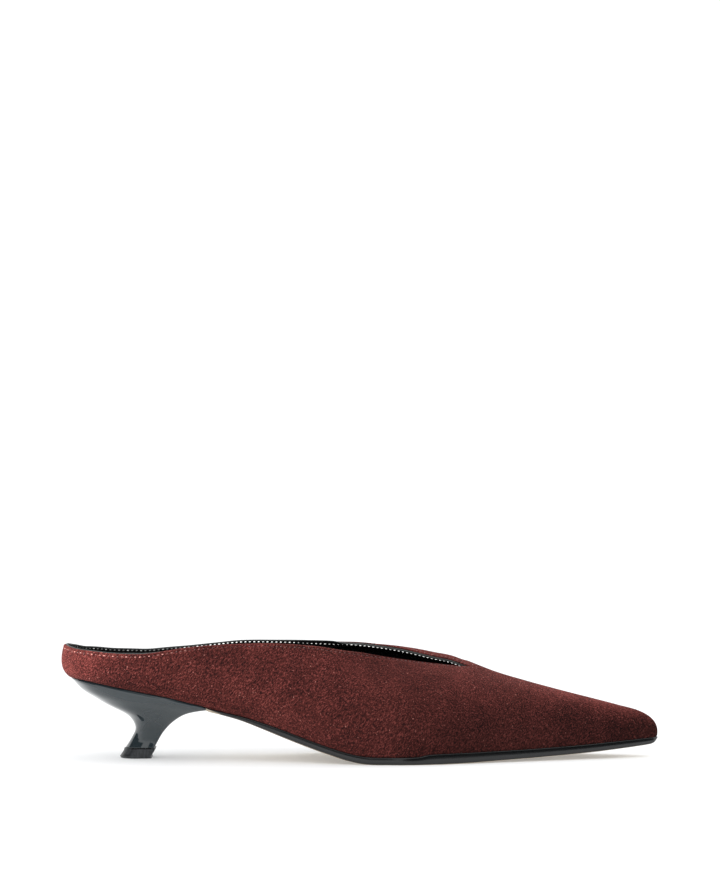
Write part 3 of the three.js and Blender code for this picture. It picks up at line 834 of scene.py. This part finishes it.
def make_footbed(drawing, finish, shift):
    """Footbed: the feather line's shape inside the lining, with a rounded edge and a dished top."""
    thick = drawing.sizes.insole_thickness
    clearance, dish, deeper = 0.12 * MM, 0.5 * MM, 0.5 * MM
    end = 0.004  # of turn, left free at the back and the toe
    turns = stations(drawing, 200, 120)
    turns = turns[(turns > end) & (turns < 1 - end)]
    # Round the edge: shares of the thickness, and how far in each lies, in millimetres.
    shares, pulls = np.array([[0, 0.5, 0.72, 0.88, 0.97, 1], [0, 0, 0.03, 0.12, 0.3, 0.6]])
    height = drawing.feather(turns)[:, None] + shares * thick
    edges = {}
    for side in (-1, 1):
        insets = [wall_inset(drawing, side, turns, share * thick, clearance) for share in shares]
        insets = np.stack(insets, axis=1) + pulls * MM
        edges[side] = inset_foot(drawing, side, turns, insets, height)
    # The dish is deeper under the heel, up to a tenth of the length, and no more so past 0.45 of it.
    heel = 1 - smooth(share_of(turns), 0.1, 0.45)
    skin = slab(edges, 25, (dish + deeper * heel)[:, None])
    skin.make("footbed", finish, "footbed", "insole", shift)


def make_sole(drawing, finish, shift):
    """Sole: the feather line's shape, with an edge like half a round that stands out by the lip.

    Its height goes as sin^1.25 of an angle, and its reach as cos^0.8. mark is 1 where the edge is
    painted and 0 on the bare leather underneath. The start is tucked in, inside the heel, and the
    underside rounds up at the tip as a quarter of an ellipse.
    """
    sizes = drawing.sizes
    start, clear = drawing.breast - 0.005, drawing.breast - 0.001  # of turn
    tuck, joint, nose_height, toe_lip = 1.8 * MM, 0.08 * MM, 2.2 * MM, 0.25 * MM
    nose_start, end = 0.986, 0.9995  # a share of the length, and a turn
    round_edge = 0.55 * MM
    unpainted, painted = -66, -46  # degrees round the edge, from straight down at -90
    turns = stations(drawing, 240, 140)
    turns = np.concatenate([[start, clear], turns[(turns > clear) & (turns < end)]])
    nose = np.clip((share_of(turns) - nose_start) / (1 - nose_start), 0, 1)
    low = (drawing.ground(turns) + nose_height * (1 - np.sqrt(1 - nose**2)))[:, None]
    high = (drawing.feather(turns) - joint)[:, None]
    lip = (sizes.sole_lip * drawing.lip(turns) + toe_lip * smooth(turns, 0.97, 1.0))[:, None]
    reach = np.minimum(round_edge, (high - low) / 2)
    degrees = np.linspace(-90, 90, 17)
    angle = np.radians(degrees)
    rise = np.abs(np.sin(angle)) ** 1.25 * np.sign(angle)
    height = (low + high) / 2 + (high - low) / 2 * rise
    tucked = np.where(turns < clear, tuck, 0)[:, None]
    inset = tucked - lip + reach * (1 - np.abs(np.cos(angle)) ** 0.8)
    edges = {side: inset_foot(drawing, side, turns, inset, height) for side in (-1, 1)}
    paint = np.clip((degrees - unpainted) / (painted - unpainted), 0, 1)
    skin = slab(edges, 17, edge_mark=paint, top_mark=1.0)
    skin.make("leather_sole", finish, "sole", "outsole", shift)


# Heel


def heel_loops(drawing, back, front, half, square, breast, hollow, steps=64, face=33):
    """Sections of a heel: a round back and a flat, slightly hollow front.

    All arguments are arrays, one value to a section; back and front have x and z. Round the back
    the half width goes as the sine of the angle, and towards the breast it stays wider. square
    brings in the seat's own outline.
    """
    sizes = drawing.sizes
    turning = 0.7  # radians to each side of the middle, over which the breast's width takes over
    angle = np.linspace(0, np.pi, steps)[None]
    share = (1 - np.cos(angle)) / 2
    broad = smooth(angle, np.pi / 2 - turning, np.pi / 2 + turning)
    half, square, breast, hollow = (value[:, None] for value in (half, square, breast, hollow))
    wide = np.sin(angle) * (1 - breast * broad) + breast * broad
    x, z = (back[:, i, None] * (1 - share) + front[:, i, None] * share for i in (0, 1))
    turn = turn_of(np.clip(share * sizes.seat_length / sizes.feather_length, 0, 1))
    loops = []
    for side in (-1, 1):
        seat = 2 * drawing.across(side, turn)
        loops.append(stack(x, side * half * (wide * (1 - square) + seat * square), z))
    lateral, medial = loops
    u = np.linspace(0, 1, face)[None, 1:-1, None]
    breast_face = lateral[:, -1:] * (1 - u) + medial[:, -1:] * u
    breast_face[..., 0] -= hollow * (4 * u * (1 - u))[..., 0]
    return np.concatenate([lateral, breast_face, medial[:, :0:-1]], axis=1)


def rounded(loops, radius, count=240):
    """Closed loops, spaced evenly and then blurred by a Gaussian, which rounds their corners."""
    closed = np.concatenate([loops, loops[:, :1]], axis=1)
    gaps = np.linalg.norm(np.diff(closed, axis=1), axis=2)
    length = np.concatenate([np.zeros((len(loops), 1)), np.cumsum(gaps, axis=1)], axis=1)
    total = length[:, -1:]
    # Loops are set end to end, two apart, so that one interpolation serves them all.
    offset = np.arange(len(loops))[:, None] * 2.0
    where = np.arange(count) / count + offset
    known = length / total + offset
    even = [np.interp(where.ravel(), known.ravel(), closed[..., k].ravel()) for k in range(3)]
    waves = np.fft.rfft(np.stack(even, axis=-1).reshape(len(loops), count, 3), axis=1)
    fade = np.exp(-0.5 * (2 * np.pi * np.arange(waves.shape[1]) * radius / total) ** 2)
    return np.fft.irfft(waves * fade[..., None], count, axis=1)


def make_block(loops, name, finish, slot, node, shift):
    """A block through loops, closed at both ends by rings that shrink to the middle."""
    skin = Skin()
    skin.grid(np.concatenate([loops, loops[:, :1]], axis=1))
    shares = np.linspace(0, 1, 6)[:, None, None]
    for end in (0, -1):
        loop = np.concatenate([loops[end], loops[end][:1]])
        skin.grid(loop * (1 - shares) + loops[end].mean(axis=0) * shares, flip=end == 0)
    skin.make(name, finish, slot, node, shift)


def make_heel(drawing, finish, shift):
    """Heel block: its sections on splines down the table, under a seat that follows the feather."""
    sizes = drawing.sizes
    joint, plug_height, plug_depth, round_edge = 0.1 * MM, 1.2 * MM, 1.1 * MM, 0.42 * MM
    plug_scale = np.array([0.95, 0.92, 1.0])
    rows = np.linspace(0, len(HEEL["back"]) - 1, 91)
    at = {name: spline(column)(rows) for name, column in HEEL.items()}
    foot = sizes.tip_thickness + sizes.fit_gap
    back, front = (
        stack(sizes.seat_length * at[end], foot + (sizes.seat_height - foot) * at[end + "Up"])
        for end in ("back", "front")
    )
    half = sizes.seat_width * np.maximum(at["seat"], 0) + sizes.tip_width * at["tip"]
    square, hollow = np.clip(at["square"], 0, 1), sizes.seat_length * at["hollow"]
    loops = heel_loops(drawing, back, front, half, square, at["breast"], hollow)
    one = np.ones(1)
    back, front = stack(one * sizes.fit_gap, 0.0), stack(one * sizes.seat_length, 0.0)
    half = one * (sizes.seat_width / 2 - sizes.fit_gap)
    seat = heel_loops(drawing, back, front, half, one, one, one * 0)
    turn = turn_of(np.clip(seat[..., 0] / sizes.feather_length, 0, 1))
    seat[..., 2] = drawing.feather(turn) - joint
    # A narrower top inside the upper keeps daylight out of the joint.
    middle = np.array([sizes.seat_length / 2, 0.0, 0.0])
    plug = (seat - middle) * plug_scale + middle + np.array([0.0, 0.0, plug_height])
    neck = plug - np.array([0.0, 0.0, plug_depth])
    loops = rounded(np.concatenate([plug, neck, seat, loops]), round_edge)
    make_block(loops, "heel_block", finish, "lacquer", "heel", shift)


def make_tip(drawing, finish, shift):
    """Heel tip: its sections on straight lines down the table, and a small chamfer at its top."""
    sizes = drawing.sizes
    round_edge = 0.3 * MM
    rows = np.array([0, 0.12, 0.5, 1, 1.25, 1.5, 1.75, 2, 2.25, 2.6, 3])
    known = np.arange(len(TIP["back"]))
    at = {name: np.interp(rows, known, column) for name, column in TIP.items()}
    height = sizes.tip_thickness * at["up"]
    back, front = (stack(sizes.seat_length * at[end], height) for end in ("back", "front"))
    chamfer = np.where(rows == 0, 0.018, 0)  # a share of the tip's width
    half = sizes.tip_width * (at["half"] - chamfer)
    one = np.ones(len(rows))
    loops = heel_loops(drawing, back, front, half, one * 0, one * HEEL["breast"][-1], one * 0)
    loops = rounded(loops, round_edge)
    make_block(loops, "heel_tip", finish, "tip_rubber", "top_lift", shift)


# Finishes


def from_srgb(display):
    """Display colour, 0 to 255, as linear light."""
    values = np.array(display) / 255
    linear = np.where(values <= 0.04045, values / 12.92, ((values + 0.055) / 1.055) ** 2.4)
    return tuple(linear.tolist())


class Field:
    """A number that changes over a surface. Arithmetic on it adds Math nodes to its finish."""

    def __init__(self, finish, socket):
        self.finish, self.socket = finish, socket

    def math(self, operation, *values):
        return self.finish.node("ShaderNodeMath", {"operation": operation}, dict(enumerate(values)))

    def __add__(self, other):
        return self.math("ADD", self, other)

    def __sub__(self, other):
        return self.math("SUBTRACT", self, other)

    def __rsub__(self, other):
        return self.math("SUBTRACT", other, self)

    def __mul__(self, other):
        return self.math("MULTIPLY", self, other)

    __radd__, __rmul__ = __add__, __mul__


class Finish:
    """A procedural material: a Principled BSDF and the nodes that feed it."""

    def __init__(self, name, **constants):
        self.material = bpy.data.materials.new(name)
        self.material.use_nodes = True
        self.tree = self.material.node_tree
        self.shader = next(n for n in self.tree.nodes if n.type == "BSDF_PRINCIPLED")
        for socket, value in constants.items():
            self.feed(self.shader.inputs[socket.replace("_", " ")], value)

    def feed(self, socket, value):
        """Links a field, or sets a number, a vector or a colour."""
        if isinstance(value, Field):
            self.tree.links.new(value.socket, socket)
        elif socket.type == "RGBA":
            socket.default_value = (*value, 1.0)
        else:
            socket.default_value = value

    def node(self, kind, settings, inputs, output=0):
        """Adds a node, sets its settings and then its sockets, and gives one of its outputs."""
        node = self.tree.nodes.new(kind)
        for name, value in settings.items():
            setattr(node, name, value)
        for socket, value in inputs.items():
            self.feed(node.inputs[socket], value)
        return Field(self, node.outputs[output])

    def place(self, scale=(1, 1, 1), turn=(0, 0, 0)):
        """Object coordinates in millimetres, turned by degrees and then stretched."""
        spot = self.node("ShaderNodeTexCoord", {}, {}, "Object")
        inputs = {"Vector": spot, "Rotation": np.radians(turn), "Scale": np.multiply(scale, MM)}
        return self.node("ShaderNodeMapping", {"vector_type": "TEXTURE"}, inputs)

    def axis(self, name):
        """X, Y or Z of the object coordinates, in millimetres."""
        return self.node("ShaderNodeSeparateXYZ", {}, {0: self.place()}, name)

    def noise(self, place, size, detail=2.0, roughness=0.5):
        """Smooth noise whose features are about size millimetres across, round 0.5."""
        inputs = {"Vector": place, "Scale": 1 / size, "Detail": detail, "Roughness": roughness}
        return self.node("ShaderNodeTexNoise", {}, inputs, "Fac")

    def mark(self):
        return self.node("ShaderNodeAttribute", {"attribute_name": "mark"}, {}, "Fac")

    def ramp(self, value, low, high, first=0.0, last=1.0):
        """A smooth step from first to last as value goes from low to high."""
        inputs = {"Value": value, "From Min": low, "From Max": high, "To Min": first, "To Max": last}
        return self.node("ShaderNodeMapRange", {"interpolation_type": "SMOOTHSTEP"}, inputs)

    def mix(self, factor, a, b):
        """Colour a where factor is 0 and colour b where it is 1."""
        return self.node("ShaderNodeMix", {"data_type": "RGBA"}, {0: factor, 6: a, 7: b}, 2)

    def surface(self, colour, roughness=None, height=None, depth=0.1, strength=1.0):
        """Feeds the shader. height is a field of 0 to 1, and depth is its reach in millimetres."""
        self.feed(self.shader.inputs["Base Color"], colour)
        if roughness is not None:
            self.feed(self.shader.inputs["Roughness"], roughness)
        if height is not None:
            inputs = {"Height": height, "Distance": depth * MM, "Strength": strength}
            self.feed(self.shader.inputs["Normal"], self.node("ShaderNodeBump", {}, inputs))
        return self.material


def suede_finish(colours):
    """Suede: fine nap in three tones, brushed patches, and light fibre ends.

    Its tone is a sum of noises round 0, from 26 mm clouds to a grain 0.44 mm wide.
    """
    sheen = {"Sheen_Weight": 0.03, "Sheen_Roughness": 0.4, "Sheen_Tint": colours.suede_sheen}
    f = Finish("suede", Specular_IOR_Level=0.08, Diffuse_Roughness=1.0, **sheen)
    even, leaning = f.place(), f.place((1.0, 1.0, 2.1), (0, 38, 0))
    cloud = f.noise(even, 26, 2)
    patch = f.noise(leaning, 6, 3, 0.55)
    nap = f.noise(leaning, 0.75, 1)
    grain = f.noise(f.place((0.44, 0.44, 0.95), (0, 42, 0)), 1, 1)
    fibre = f.noise(even, 0.75, 0)
    tone = (cloud - 0.5) + (patch - 0.5) * 0.45 + (nap - 0.5) * 0.7 + (grain - 0.5) * 3.8
    colour = f.mix(f.ramp(tone, -0.75, 0.05), colours.suede_dark, colours.suede)
    colour = f.mix(f.ramp(tone, 0.05, 0.85), colour, colours.suede_light)
    colour = f.mix(f.ramp(fibre, 0.78, 0.86) * 0.45, colour, colours.suede_fibre)
    height = nap * 0.3 + grain * 0.8 + patch * 0.2
    return f.surface(colour, f.ramp(tone, -1, 1, 0.98, 0.86), height, 0.55)


def lining_finish(colours):
    """Lining: thin glossy black leather with a very fine pebble."""
    f = Finish("lining", Specular_IOR_Level=0.5, Coat_Roughness=0.12)
    even = f.place()
    pebble, wave, rub = f.noise(even, 0.5, 2), f.noise(even, 7, 2), f.noise(even, 14, 3)
    colour = f.mix(f.ramp(rub, 0.35, 0.7), colours.lining, colours.lining_worn)
    edge = f.ramp(f.mark(), 0.25, 0.6)
    colour = f.mix(edge, colour, colours.lining_edge)
    rough = f.ramp(rub, 0.3, 0.7, 0.22, 0.34) + edge * 0.2
    return f.surface(colour, rough, pebble * 0.5 + wave * 0.5, 0.06, 0.5)


def footbed_finish(colours):
    """Footbed: smooth black leather with a soft pebble and a rubbed sheen."""
    f = Finish("footbed", Specular_IOR_Level=0.5)
    even = f.place()
    cells = f.node("ShaderNodeTexVoronoi", {"feature": "SMOOTH_F1"}, {"Vector": even, "Scale": 1.1})
    wave = f.noise(even, 9, 3)
    colour = f.mix(f.ramp(wave, 0.3, 0.7), colours.footbed, colours.footbed_worn)
    return f.surface(colour, f.ramp(wave, 0.3, 0.7, 0.36, 0.5), cells * 0.7 + wave * 0.3, 0.08, 0.5)


def sole_finish(colours):
    """Sole: black edge paint over natural leather, which is bare underneath.

    The paint goes by mark, and ahead of the middle it covers the whole round of the edge. Just
    ahead of the heel it ends in a wedge: it lies above a slanting line, which drops by 2 mm, to
    below the sole, from 63 to 60 mm behind the middle.
    """
    f = Finish("sole", Specular_IOR_Level=0.55)
    even, ahead, mark = f.place(), f.axis("X"), f.mark()
    wobble = f.noise(even, 2.4, 3)
    fleck = f.noise(f.place((3.0, 1.0, 1.0)), 0.7, 3, 0.6)
    cloud = f.noise(even, 16, 3)
    edge = mark + f.ramp(ahead, -14, 2) * f.ramp(mark, 0.0, 0.05)
    slant = f.axis("Z") + ahead * 0.38 + 2.1 + f.ramp(ahead, -63, -60, 0.0, 2.0)
    paint = f.ramp(edge + (wobble - 0.5) * 0.5, 0.35, 0.6) * f.ramp(slant, -0.2, 0.2)
    hide = f.mix(f.ramp(fleck * 0.5 + cloud * 0.5, 0.35, 0.65), colours.hide_dark, colours.hide)
    colour = f.mix(paint, hide, colours.edge_paint)
    height = fleck * (1 - paint) * 0.6 + wobble * 0.5
    return f.surface(colour, 0.62 - paint * 0.4, height, 0.06, 0.5)


def lacquer_finish(colours):
    """Lacquer: deep gloss black with a faint ripple in the coat, coloured slate as painted
    reflection.
    """
    f = Finish("lacquer", IOR=1.55, Coat_Weight=0.3, Coat_Roughness=0.02, Coat_IOR=1.5)
    even = f.place()
    ripple, haze = f.noise(even, 5, 1), f.noise(even, 11, 2)
    # Painted reflection: both tones are black lightened to slate grey and tinted blue, mixed by a
    # haze noise.
    colour = f.mix(haze, colours.lacquer, colours.lacquer_light)
    return f.surface(colour, f.ramp(haze, 0.3, 0.7, 0.03, 0.07), ripple, 0.01, 0.4)


def rubber_finish(colours):
    """Heel tip: dense satin rubber, scuffed and speckled."""
    f = Finish("tip_rubber", Specular_IOR_Level=0.5)
    speck, scuff = f.noise(f.place(), 0.3, 2, 0.6), f.noise(f.place((1, 1, 3)), 1.3, 3, 0.6)
    colour = f.mix(f.ramp(scuff, 0.4, 0.75), colours.rubber, colours.rubber_worn)
    height = speck * 0.6 + scuff * 0.4
    return f.surface(colour, f.ramp(scuff, 0.3, 0.7, 0.34, 0.55), height, 0.08, 0.6)


def thread_finish(name, colour, shade, darken_back, darken_ahead):
    """Thread: twisted strands, and a tone that differs from stitch to stitch.

    It is darkened by darken_back at the heel and by darken_ahead from there forward, and lightened
    where these are negative: on the inner row this is painted shade at the heel and painted light
    ahead of it.
    """
    f = Finish(name, Specular_IOR_Level=0.1, Sheen_Weight=0.1)
    strand = f.noise(f.place((0.25, 1, 1), (0, 0, 34.4)), 0.5, 1)
    # Tone shifted by position along the shoe: on the inner row painted shade at the heel and painted
    # light ahead of it, on the outer row darker ahead of the heel.
    darkening = f.ramp(f.axis("X"), -88, -60, darken_back, darken_ahead)
    tone = f.ramp(f.mark() * 0.6 + strand * 0.5, 0.2, 0.9) - darkening
    return f.surface(f.mix(f.ramp(tone, 0.0, 1.0), shade, colour), 0.7, strand, 0.08, 0.6)


# Settings. Each row gives a property's description and its default; its name is its key in words.


def in_words(key):
    return key.replace("_", " ").capitalize()


def lengths(**rows):
    """Length properties, with defaults in millimetres."""
    kind = {"unit": "LENGTH", "precision": 5}
    return {
        key: FloatProperty(name=in_words(key), description=text, default=value * MM, **kind)
        for key, (text, value) in rows.items()
    }


def colours_of(**rows):
    """Colour properties, with defaults as display colours."""
    kind = {"subtype": "COLOR", "size": 3, "min": 0.0, "max": 1.0}
    return {
        key: FloatVectorProperty(name=in_words(key), description=text, default=from_srgb(rgb), **kind)
        for key, (text, *rgb) in rows.items()
    }


def numbers(unit="NONE", **rows):
    """Properties that are numbers, such as the watts of a light."""
    return {
        key: FloatProperty(name=in_words(key), description=text, default=value, unit=unit)
        for key, (text, value) in rows.items()
    }


class MuleSizes(bpy.types.PropertyGroup):
    __annotations__ = lengths(
        feather_length=("Back of the seat to the tip of the toe", 268.2),
        seat_length=("Back of the seat to the breast of the heel", 64.4),
        seat_width=("Feather line across the seat", 50),
        ball_width=("Feather line across the ball", 72.3),
        seat_height=("Floor to the feather line at the back", 36.8),
        side_height=("Floor to the topline beside the ball", 50),
        toe_spring=("Floor to the sole under the toe", 6.3),
        upper_wall=("Suede and lining together", 1.8),
        insole_thickness=("Thickness of the footbed", 2.2),
        sole_thickness=("Thickness of the sole at the ball", 3.4),
        sole_lip=("How far the sole stands out past the feather line", 0.6),
        tip_width=("Across the heel tip", 15),
        tip_thickness=("Height of the heel tip", 4.5),
        fit_gap=("Between pieces that touch", 0.3),
        stitch_pitch=("From one stitch to the next", 2.05),
        stitch_length=("Length of one stitch", 1.25),
        thread_width=("Width of the sewing thread", 0.5),
    )


class MuleColours(bpy.types.PropertyGroup):
    __annotations__ = colours_of(
        suede=("Main tone of the nap", 45, 18, 16),
        suede_dark=("Between the fibres and in brushed patches", 20, 8, 8),
        suede_light=("Raised nap", 74, 35, 32),
        suede_fibre=("Ends of loose fibres", 140, 92, 84),
        suede_sheen=("Sheen of the nap", 200, 110, 100),
        lining=("Glossy lining leather", 12, 12, 13),
        lining_worn=("Rubbed places of the lining", 20, 20, 22),
        lining_edge=("Painted edge round the topline", 68, 71, 70),
        footbed=("Footbed leather", 20, 20, 22),
        footbed_worn=("Rubbed places of the footbed", 30, 30, 32),
        edge_paint=("Painted edge of the sole", 14, 16, 17),
        hide=("Bare leather under the sole", 196, 184, 166),
        hide_dark=("Darker fibres of the bare leather", 166, 152, 132),
        # The heel's two colours are black lightened to slate grey and tinted blue: painted reflection
        # of the surroundings.
        lacquer=("Gloss of the heel", 35, 44, 48),
        lacquer_light=("Haze in the gloss", 46, 55, 59),
        rubber=("Rubber of the heel tip", 30, 33, 36),
        rubber_worn=("Scuffs of the heel tip", 62, 66, 70),
        thread_outside=("Thread on the suede", 108, 70, 64),
        shade_outside=("Darker stitches on the suede", 44, 19, 17),
        thread_inside=("Thread on the lining", 225, 225, 222),
        shade_inside=("Darker stitches on the lining", 84, 84, 83),
    )


class MuleStage(bpy.types.PropertyGroup):
    __annotations__ = {
        **lengths(
            camera_distance=("Camera to the middle of the shoe", 1449.3),
            camera_height=("Camera above the floor", 147),
            floor_size=("Side of the pale floor", 16000),
        ),
        **numbers(
            lens=("Focal length in millimetres, for a sensor of 36", 131.46),
            surround=("Brightness of the white surround", 1.25),
        ),
        **numbers(
            "POWER",
            key=("Soft light above the heel", 5.3),
            kicker=("Small light at the heel end", 3.1),
            crown=("Small light behind the toe", 1.2),
            skirt=("Low light beside the heel", 1.1),
            fill=("Light on the floor alone", 4.0),
        ),
    }


# Operators


def made_from(context):
    """What each piece is made from: the drawing, the colours, and the shift to the frame."""
    sizes = context.scene.mule_sizes
    return Drawing(sizes), context.scene.mule_colours, shift_of(sizes)


class MULE_OT_upper(bpy.types.Operator):
    """Build the suede upper and its lining"""

    bl_idname = "mule.upper"
    bl_label = "Upper and lining"

    def execute(self, context):
        drawing, colours, shift = made_from(context)
        wall = Wall(drawing, shift)
        make_suede(wall, suede_finish(colours), shift)
        make_lining(wall, lining_finish(colours), shift)
        return {"FINISHED"}


class MULE_OT_thread(bpy.types.Operator):
    """Sew the row of stitches round the topline, outside and inside"""

    bl_idname = "mule.thread"
    bl_label = "Stitches"

    def execute(self, context):
        drawing, colours, shift = made_from(context)
        sizes = drawing.sizes

        def outside(side, turns):
            """In the groove of the seam."""
            sunk = 0.12 * MM
            return np.full(len(turns), Wall.seam), np.full(len(turns), sunk)

        def inside(side, turns):
            """Below the roll where the wall stands up, and on the roll where it lies down."""
            below, on, sunk = 0.8 * MM, 0.3 * MM, 0.1 * MM
            lying = drawing.lying(side, turns)
            return below * (1 - lying) + on * lying, sizes.upper_wall - sunk * lying

        # The last two numbers darken a row at the heel and ahead of it, and a negative one lightens
        # it. The outer row is darker ahead of the heel. The inner row has painted shade at the heel,
        # where the key light falls on it, and painted light ahead of it.
        rows = (("outside", outside, 1, 0, 0.9), ("inside", inside, -1, 0.6, -0.5))
        for name, line, facing, *darkening in rows:
            thread, shade = (getattr(colours, part + name) for part in ("thread_", "shade_"))
            finish = thread_finish("thread_" + name, thread, shade, *darkening)
            points, normals = seam_path(drawing, line)
            make_thread("stitches_" + name, points, normals * facing, sizes, finish, shift)
        return {"FINISHED"}


class MULE_OT_footbed(bpy.types.Operator):
    """Build the footbed"""

    bl_idname = "mule.footbed"
    bl_label = "Footbed"

    def execute(self, context):
        drawing, colours, shift = made_from(context)
        make_footbed(drawing, footbed_finish(colours), shift)
        return {"FINISHED"}


class MULE_OT_sole(bpy.types.Operator):
    """Build the leather sole with its painted edge"""

    bl_idname = "mule.sole"
    bl_label = "Sole"

    def execute(self, context):
        drawing, colours, shift = made_from(context)
        make_sole(drawing, sole_finish(colours), shift)
        return {"FINISHED"}


class MULE_OT_heel(bpy.types.Operator):
    """Build the lacquered heel and its rubber tip"""

    bl_idname = "mule.heel"
    bl_label = "Heel and heel tip"

    def execute(self, context):
        drawing, colours, shift = made_from(context)
        make_heel(drawing, lacquer_finish(colours), shift)
        make_tip(drawing, rubber_finish(colours), shift)
        return {"FINISHED"}


def make_floor(side):
    """A square grid of faces at Z = 0, whose colour is a little cloudy."""
    pale, paler = (0.852, 0.86, 0.866), (0.872, 0.88, 0.886)
    line = np.linspace(-side / 2, side / 2, 9)
    skin = Skin()
    skin.grid(stack(line[:, None], line, 0.0))
    f = Finish("floor", Roughness=0.9, Specular_IOR_Level=0.1)
    f.surface(f.mix(f.noise(f.place(), 400, 2), pale, paler))
    floor = skin.build("floor", f.material)
    return floor


def make_flag(name, start, end, low, high):
    """An upright black card over a line on the floor, which is seen only in reflections."""
    skin = Skin()
    skin.grid(np.array([[(*spot, height) for spot in (start, end)] for height in (low, high)]))
    f = Finish(name, Roughness=1.0, Specular_IOR_Level=0.0)
    card = skin.build(name, f.surface((0.01, 0.01, 0.01)))
    card.visible_camera = card.visible_diffuse = card.visible_shadow = False


def make_light(name, power, spot, size, receivers, blockers=()):
    """A soft light that reaches only its receivers, and is blocked by blockers if it has any."""
    lamp = bpy.data.lights.new(name, "AREA")
    lamp.shape, lamp.size, lamp.energy = "DISK", size, power
    holder = bpy.data.objects.new(name, lamp)
    holder.location = spot
    aim = Vector((0, 0, 0.03)) - Vector(spot)  # at the middle of the shoe
    holder.rotation_euler = aim.to_track_quat("-Z", "Y").to_euler()
    holder.visible_camera = holder.visible_glossy = False
    bpy.context.scene.collection.objects.link(holder)
    for end, things in (("receiver_collection", receivers), ("blocker_collection", blockers)):
        if things:
            group = bpy.data.collections.new(name + "_" + end)
            for thing in things:
                group.objects.link(thing)
            setattr(holder.light_linking, end, group)


class MULE_OT_stage(bpy.types.Operator):
    """Set up the floor, the white surround, the light and the camera"""

    bl_idname = "mule.stage"
    bl_label = "Floor, light and camera"

    # Places in metres. A light has its spot and its diameter.
    lights = {
        "key": ((-0.35, -0.22, 0.3), 0.2),
        "kicker": ((-0.28, -0.13, 0.11), 0.06),
        "crown": ((0.138, 0.025, 0.115), 0.05),
        "skirt": ((-0.25, -0.35, 0.02), 0.1),
        "fill": ((0, 0, 1.2), 0.8),
    }
    # A flag has the ends of its foot, in plan, and its lowest and highest point.
    flags = {
        "toe_flag": ((0.12, -1.25), (1.0, -0.3), 0, 0.9),
        "neck_flag": ((-0.32, 0.1), (-0.32, -0.2), 0.04, 0.3),
        "front_flag": ((-0.5, -0.2), (-0.12, -1.3), 0.2, 0.9),
    }

    def execute(self, context):
        scene, stage = context.scene, context.scene.mule_stage
        floor = make_floor(stage.floor_size)
        scene.view_settings.view_transform = "Standard"
        scene.world = bpy.data.worlds.new("surround")
        scene.world.use_nodes = True
        sky = scene.world.node_tree.nodes["Background"]
        sky.inputs["Color"].default_value = (1, 1, 1, 1)
        sky.inputs["Strength"].default_value = stage.surround
        nap = [bpy.data.objects[name] for name in ("suede_upper", "stitches_outside")]
        # What the lights reach, and what blocks the fill. The others reach only what nap lists.
        reach = {"key": ([*nap, bpy.data.objects["stitches_inside"]],), "fill": ([floor], [floor])}
        for name, place in self.lights.items():
            make_light(name, getattr(stage, name), *place, *reach.get(name, (nap,)))
        for name, place in self.flags.items():
            make_flag(name, *place)
        camera = bpy.data.cameras.new("camera")
        camera.lens, camera.sensor_width, camera.sensor_fit = stage.lens, 36, "AUTO"
        camera.clip_start, camera.clip_end = 0.05, 100
        holder = bpy.data.objects.new("camera", camera)
        holder.location = (0, -stage.camera_distance, stage.camera_height)
        holder.rotation_euler = (math.radians(90), 0, 0)
        scene.collection.objects.link(holder)
        scene.camera = holder
        return {"FINISHED"}


STEPS = (MULE_OT_upper, MULE_OT_thread, MULE_OT_footbed, MULE_OT_sole, MULE_OT_heel, MULE_OT_stage)


class MULE_PT_panel(bpy.types.Panel):
    """The shoe's sizes, colours and building steps"""

    bl_label = "Suede mule"
    bl_idname = "MULE_PT_panel"
    bl_space_type = "VIEW_3D"
    bl_region_type = "UI"
    bl_category = "Mule"

    def draw(self, context):
        layout = self.layout
        for step in STEPS:
            layout.operator(step.bl_idname)
        for key, kind in GROUPS.items():
            box = layout.box()
            box.label(text=in_words(key))
            for name in kind.__annotations__:
                box.prop(getattr(context.scene, key), name)


GROUPS = {"mule_sizes": MuleSizes, "mule_colours": MuleColours, "mule_stage": MuleStage}


def register():
    for cls in (*GROUPS.values(), *STEPS, MULE_PT_panel):
        bpy.utils.register_class(cls)
    for name, group in GROUPS.items():
        setattr(bpy.types.Scene, name, PointerProperty(type=group))


def unregister():
    for name in GROUPS:
        delattr(bpy.types.Scene, name)
    for cls in reversed((*GROUPS.values(), *STEPS, MULE_PT_panel)):
        bpy.utils.unregister_class(cls)


def main():
    register()
    for step in STEPS:
        getattr(bpy.ops.mule, step.bl_idname.removeprefix("mule."))()


if __name__ == "__main__":
    main()
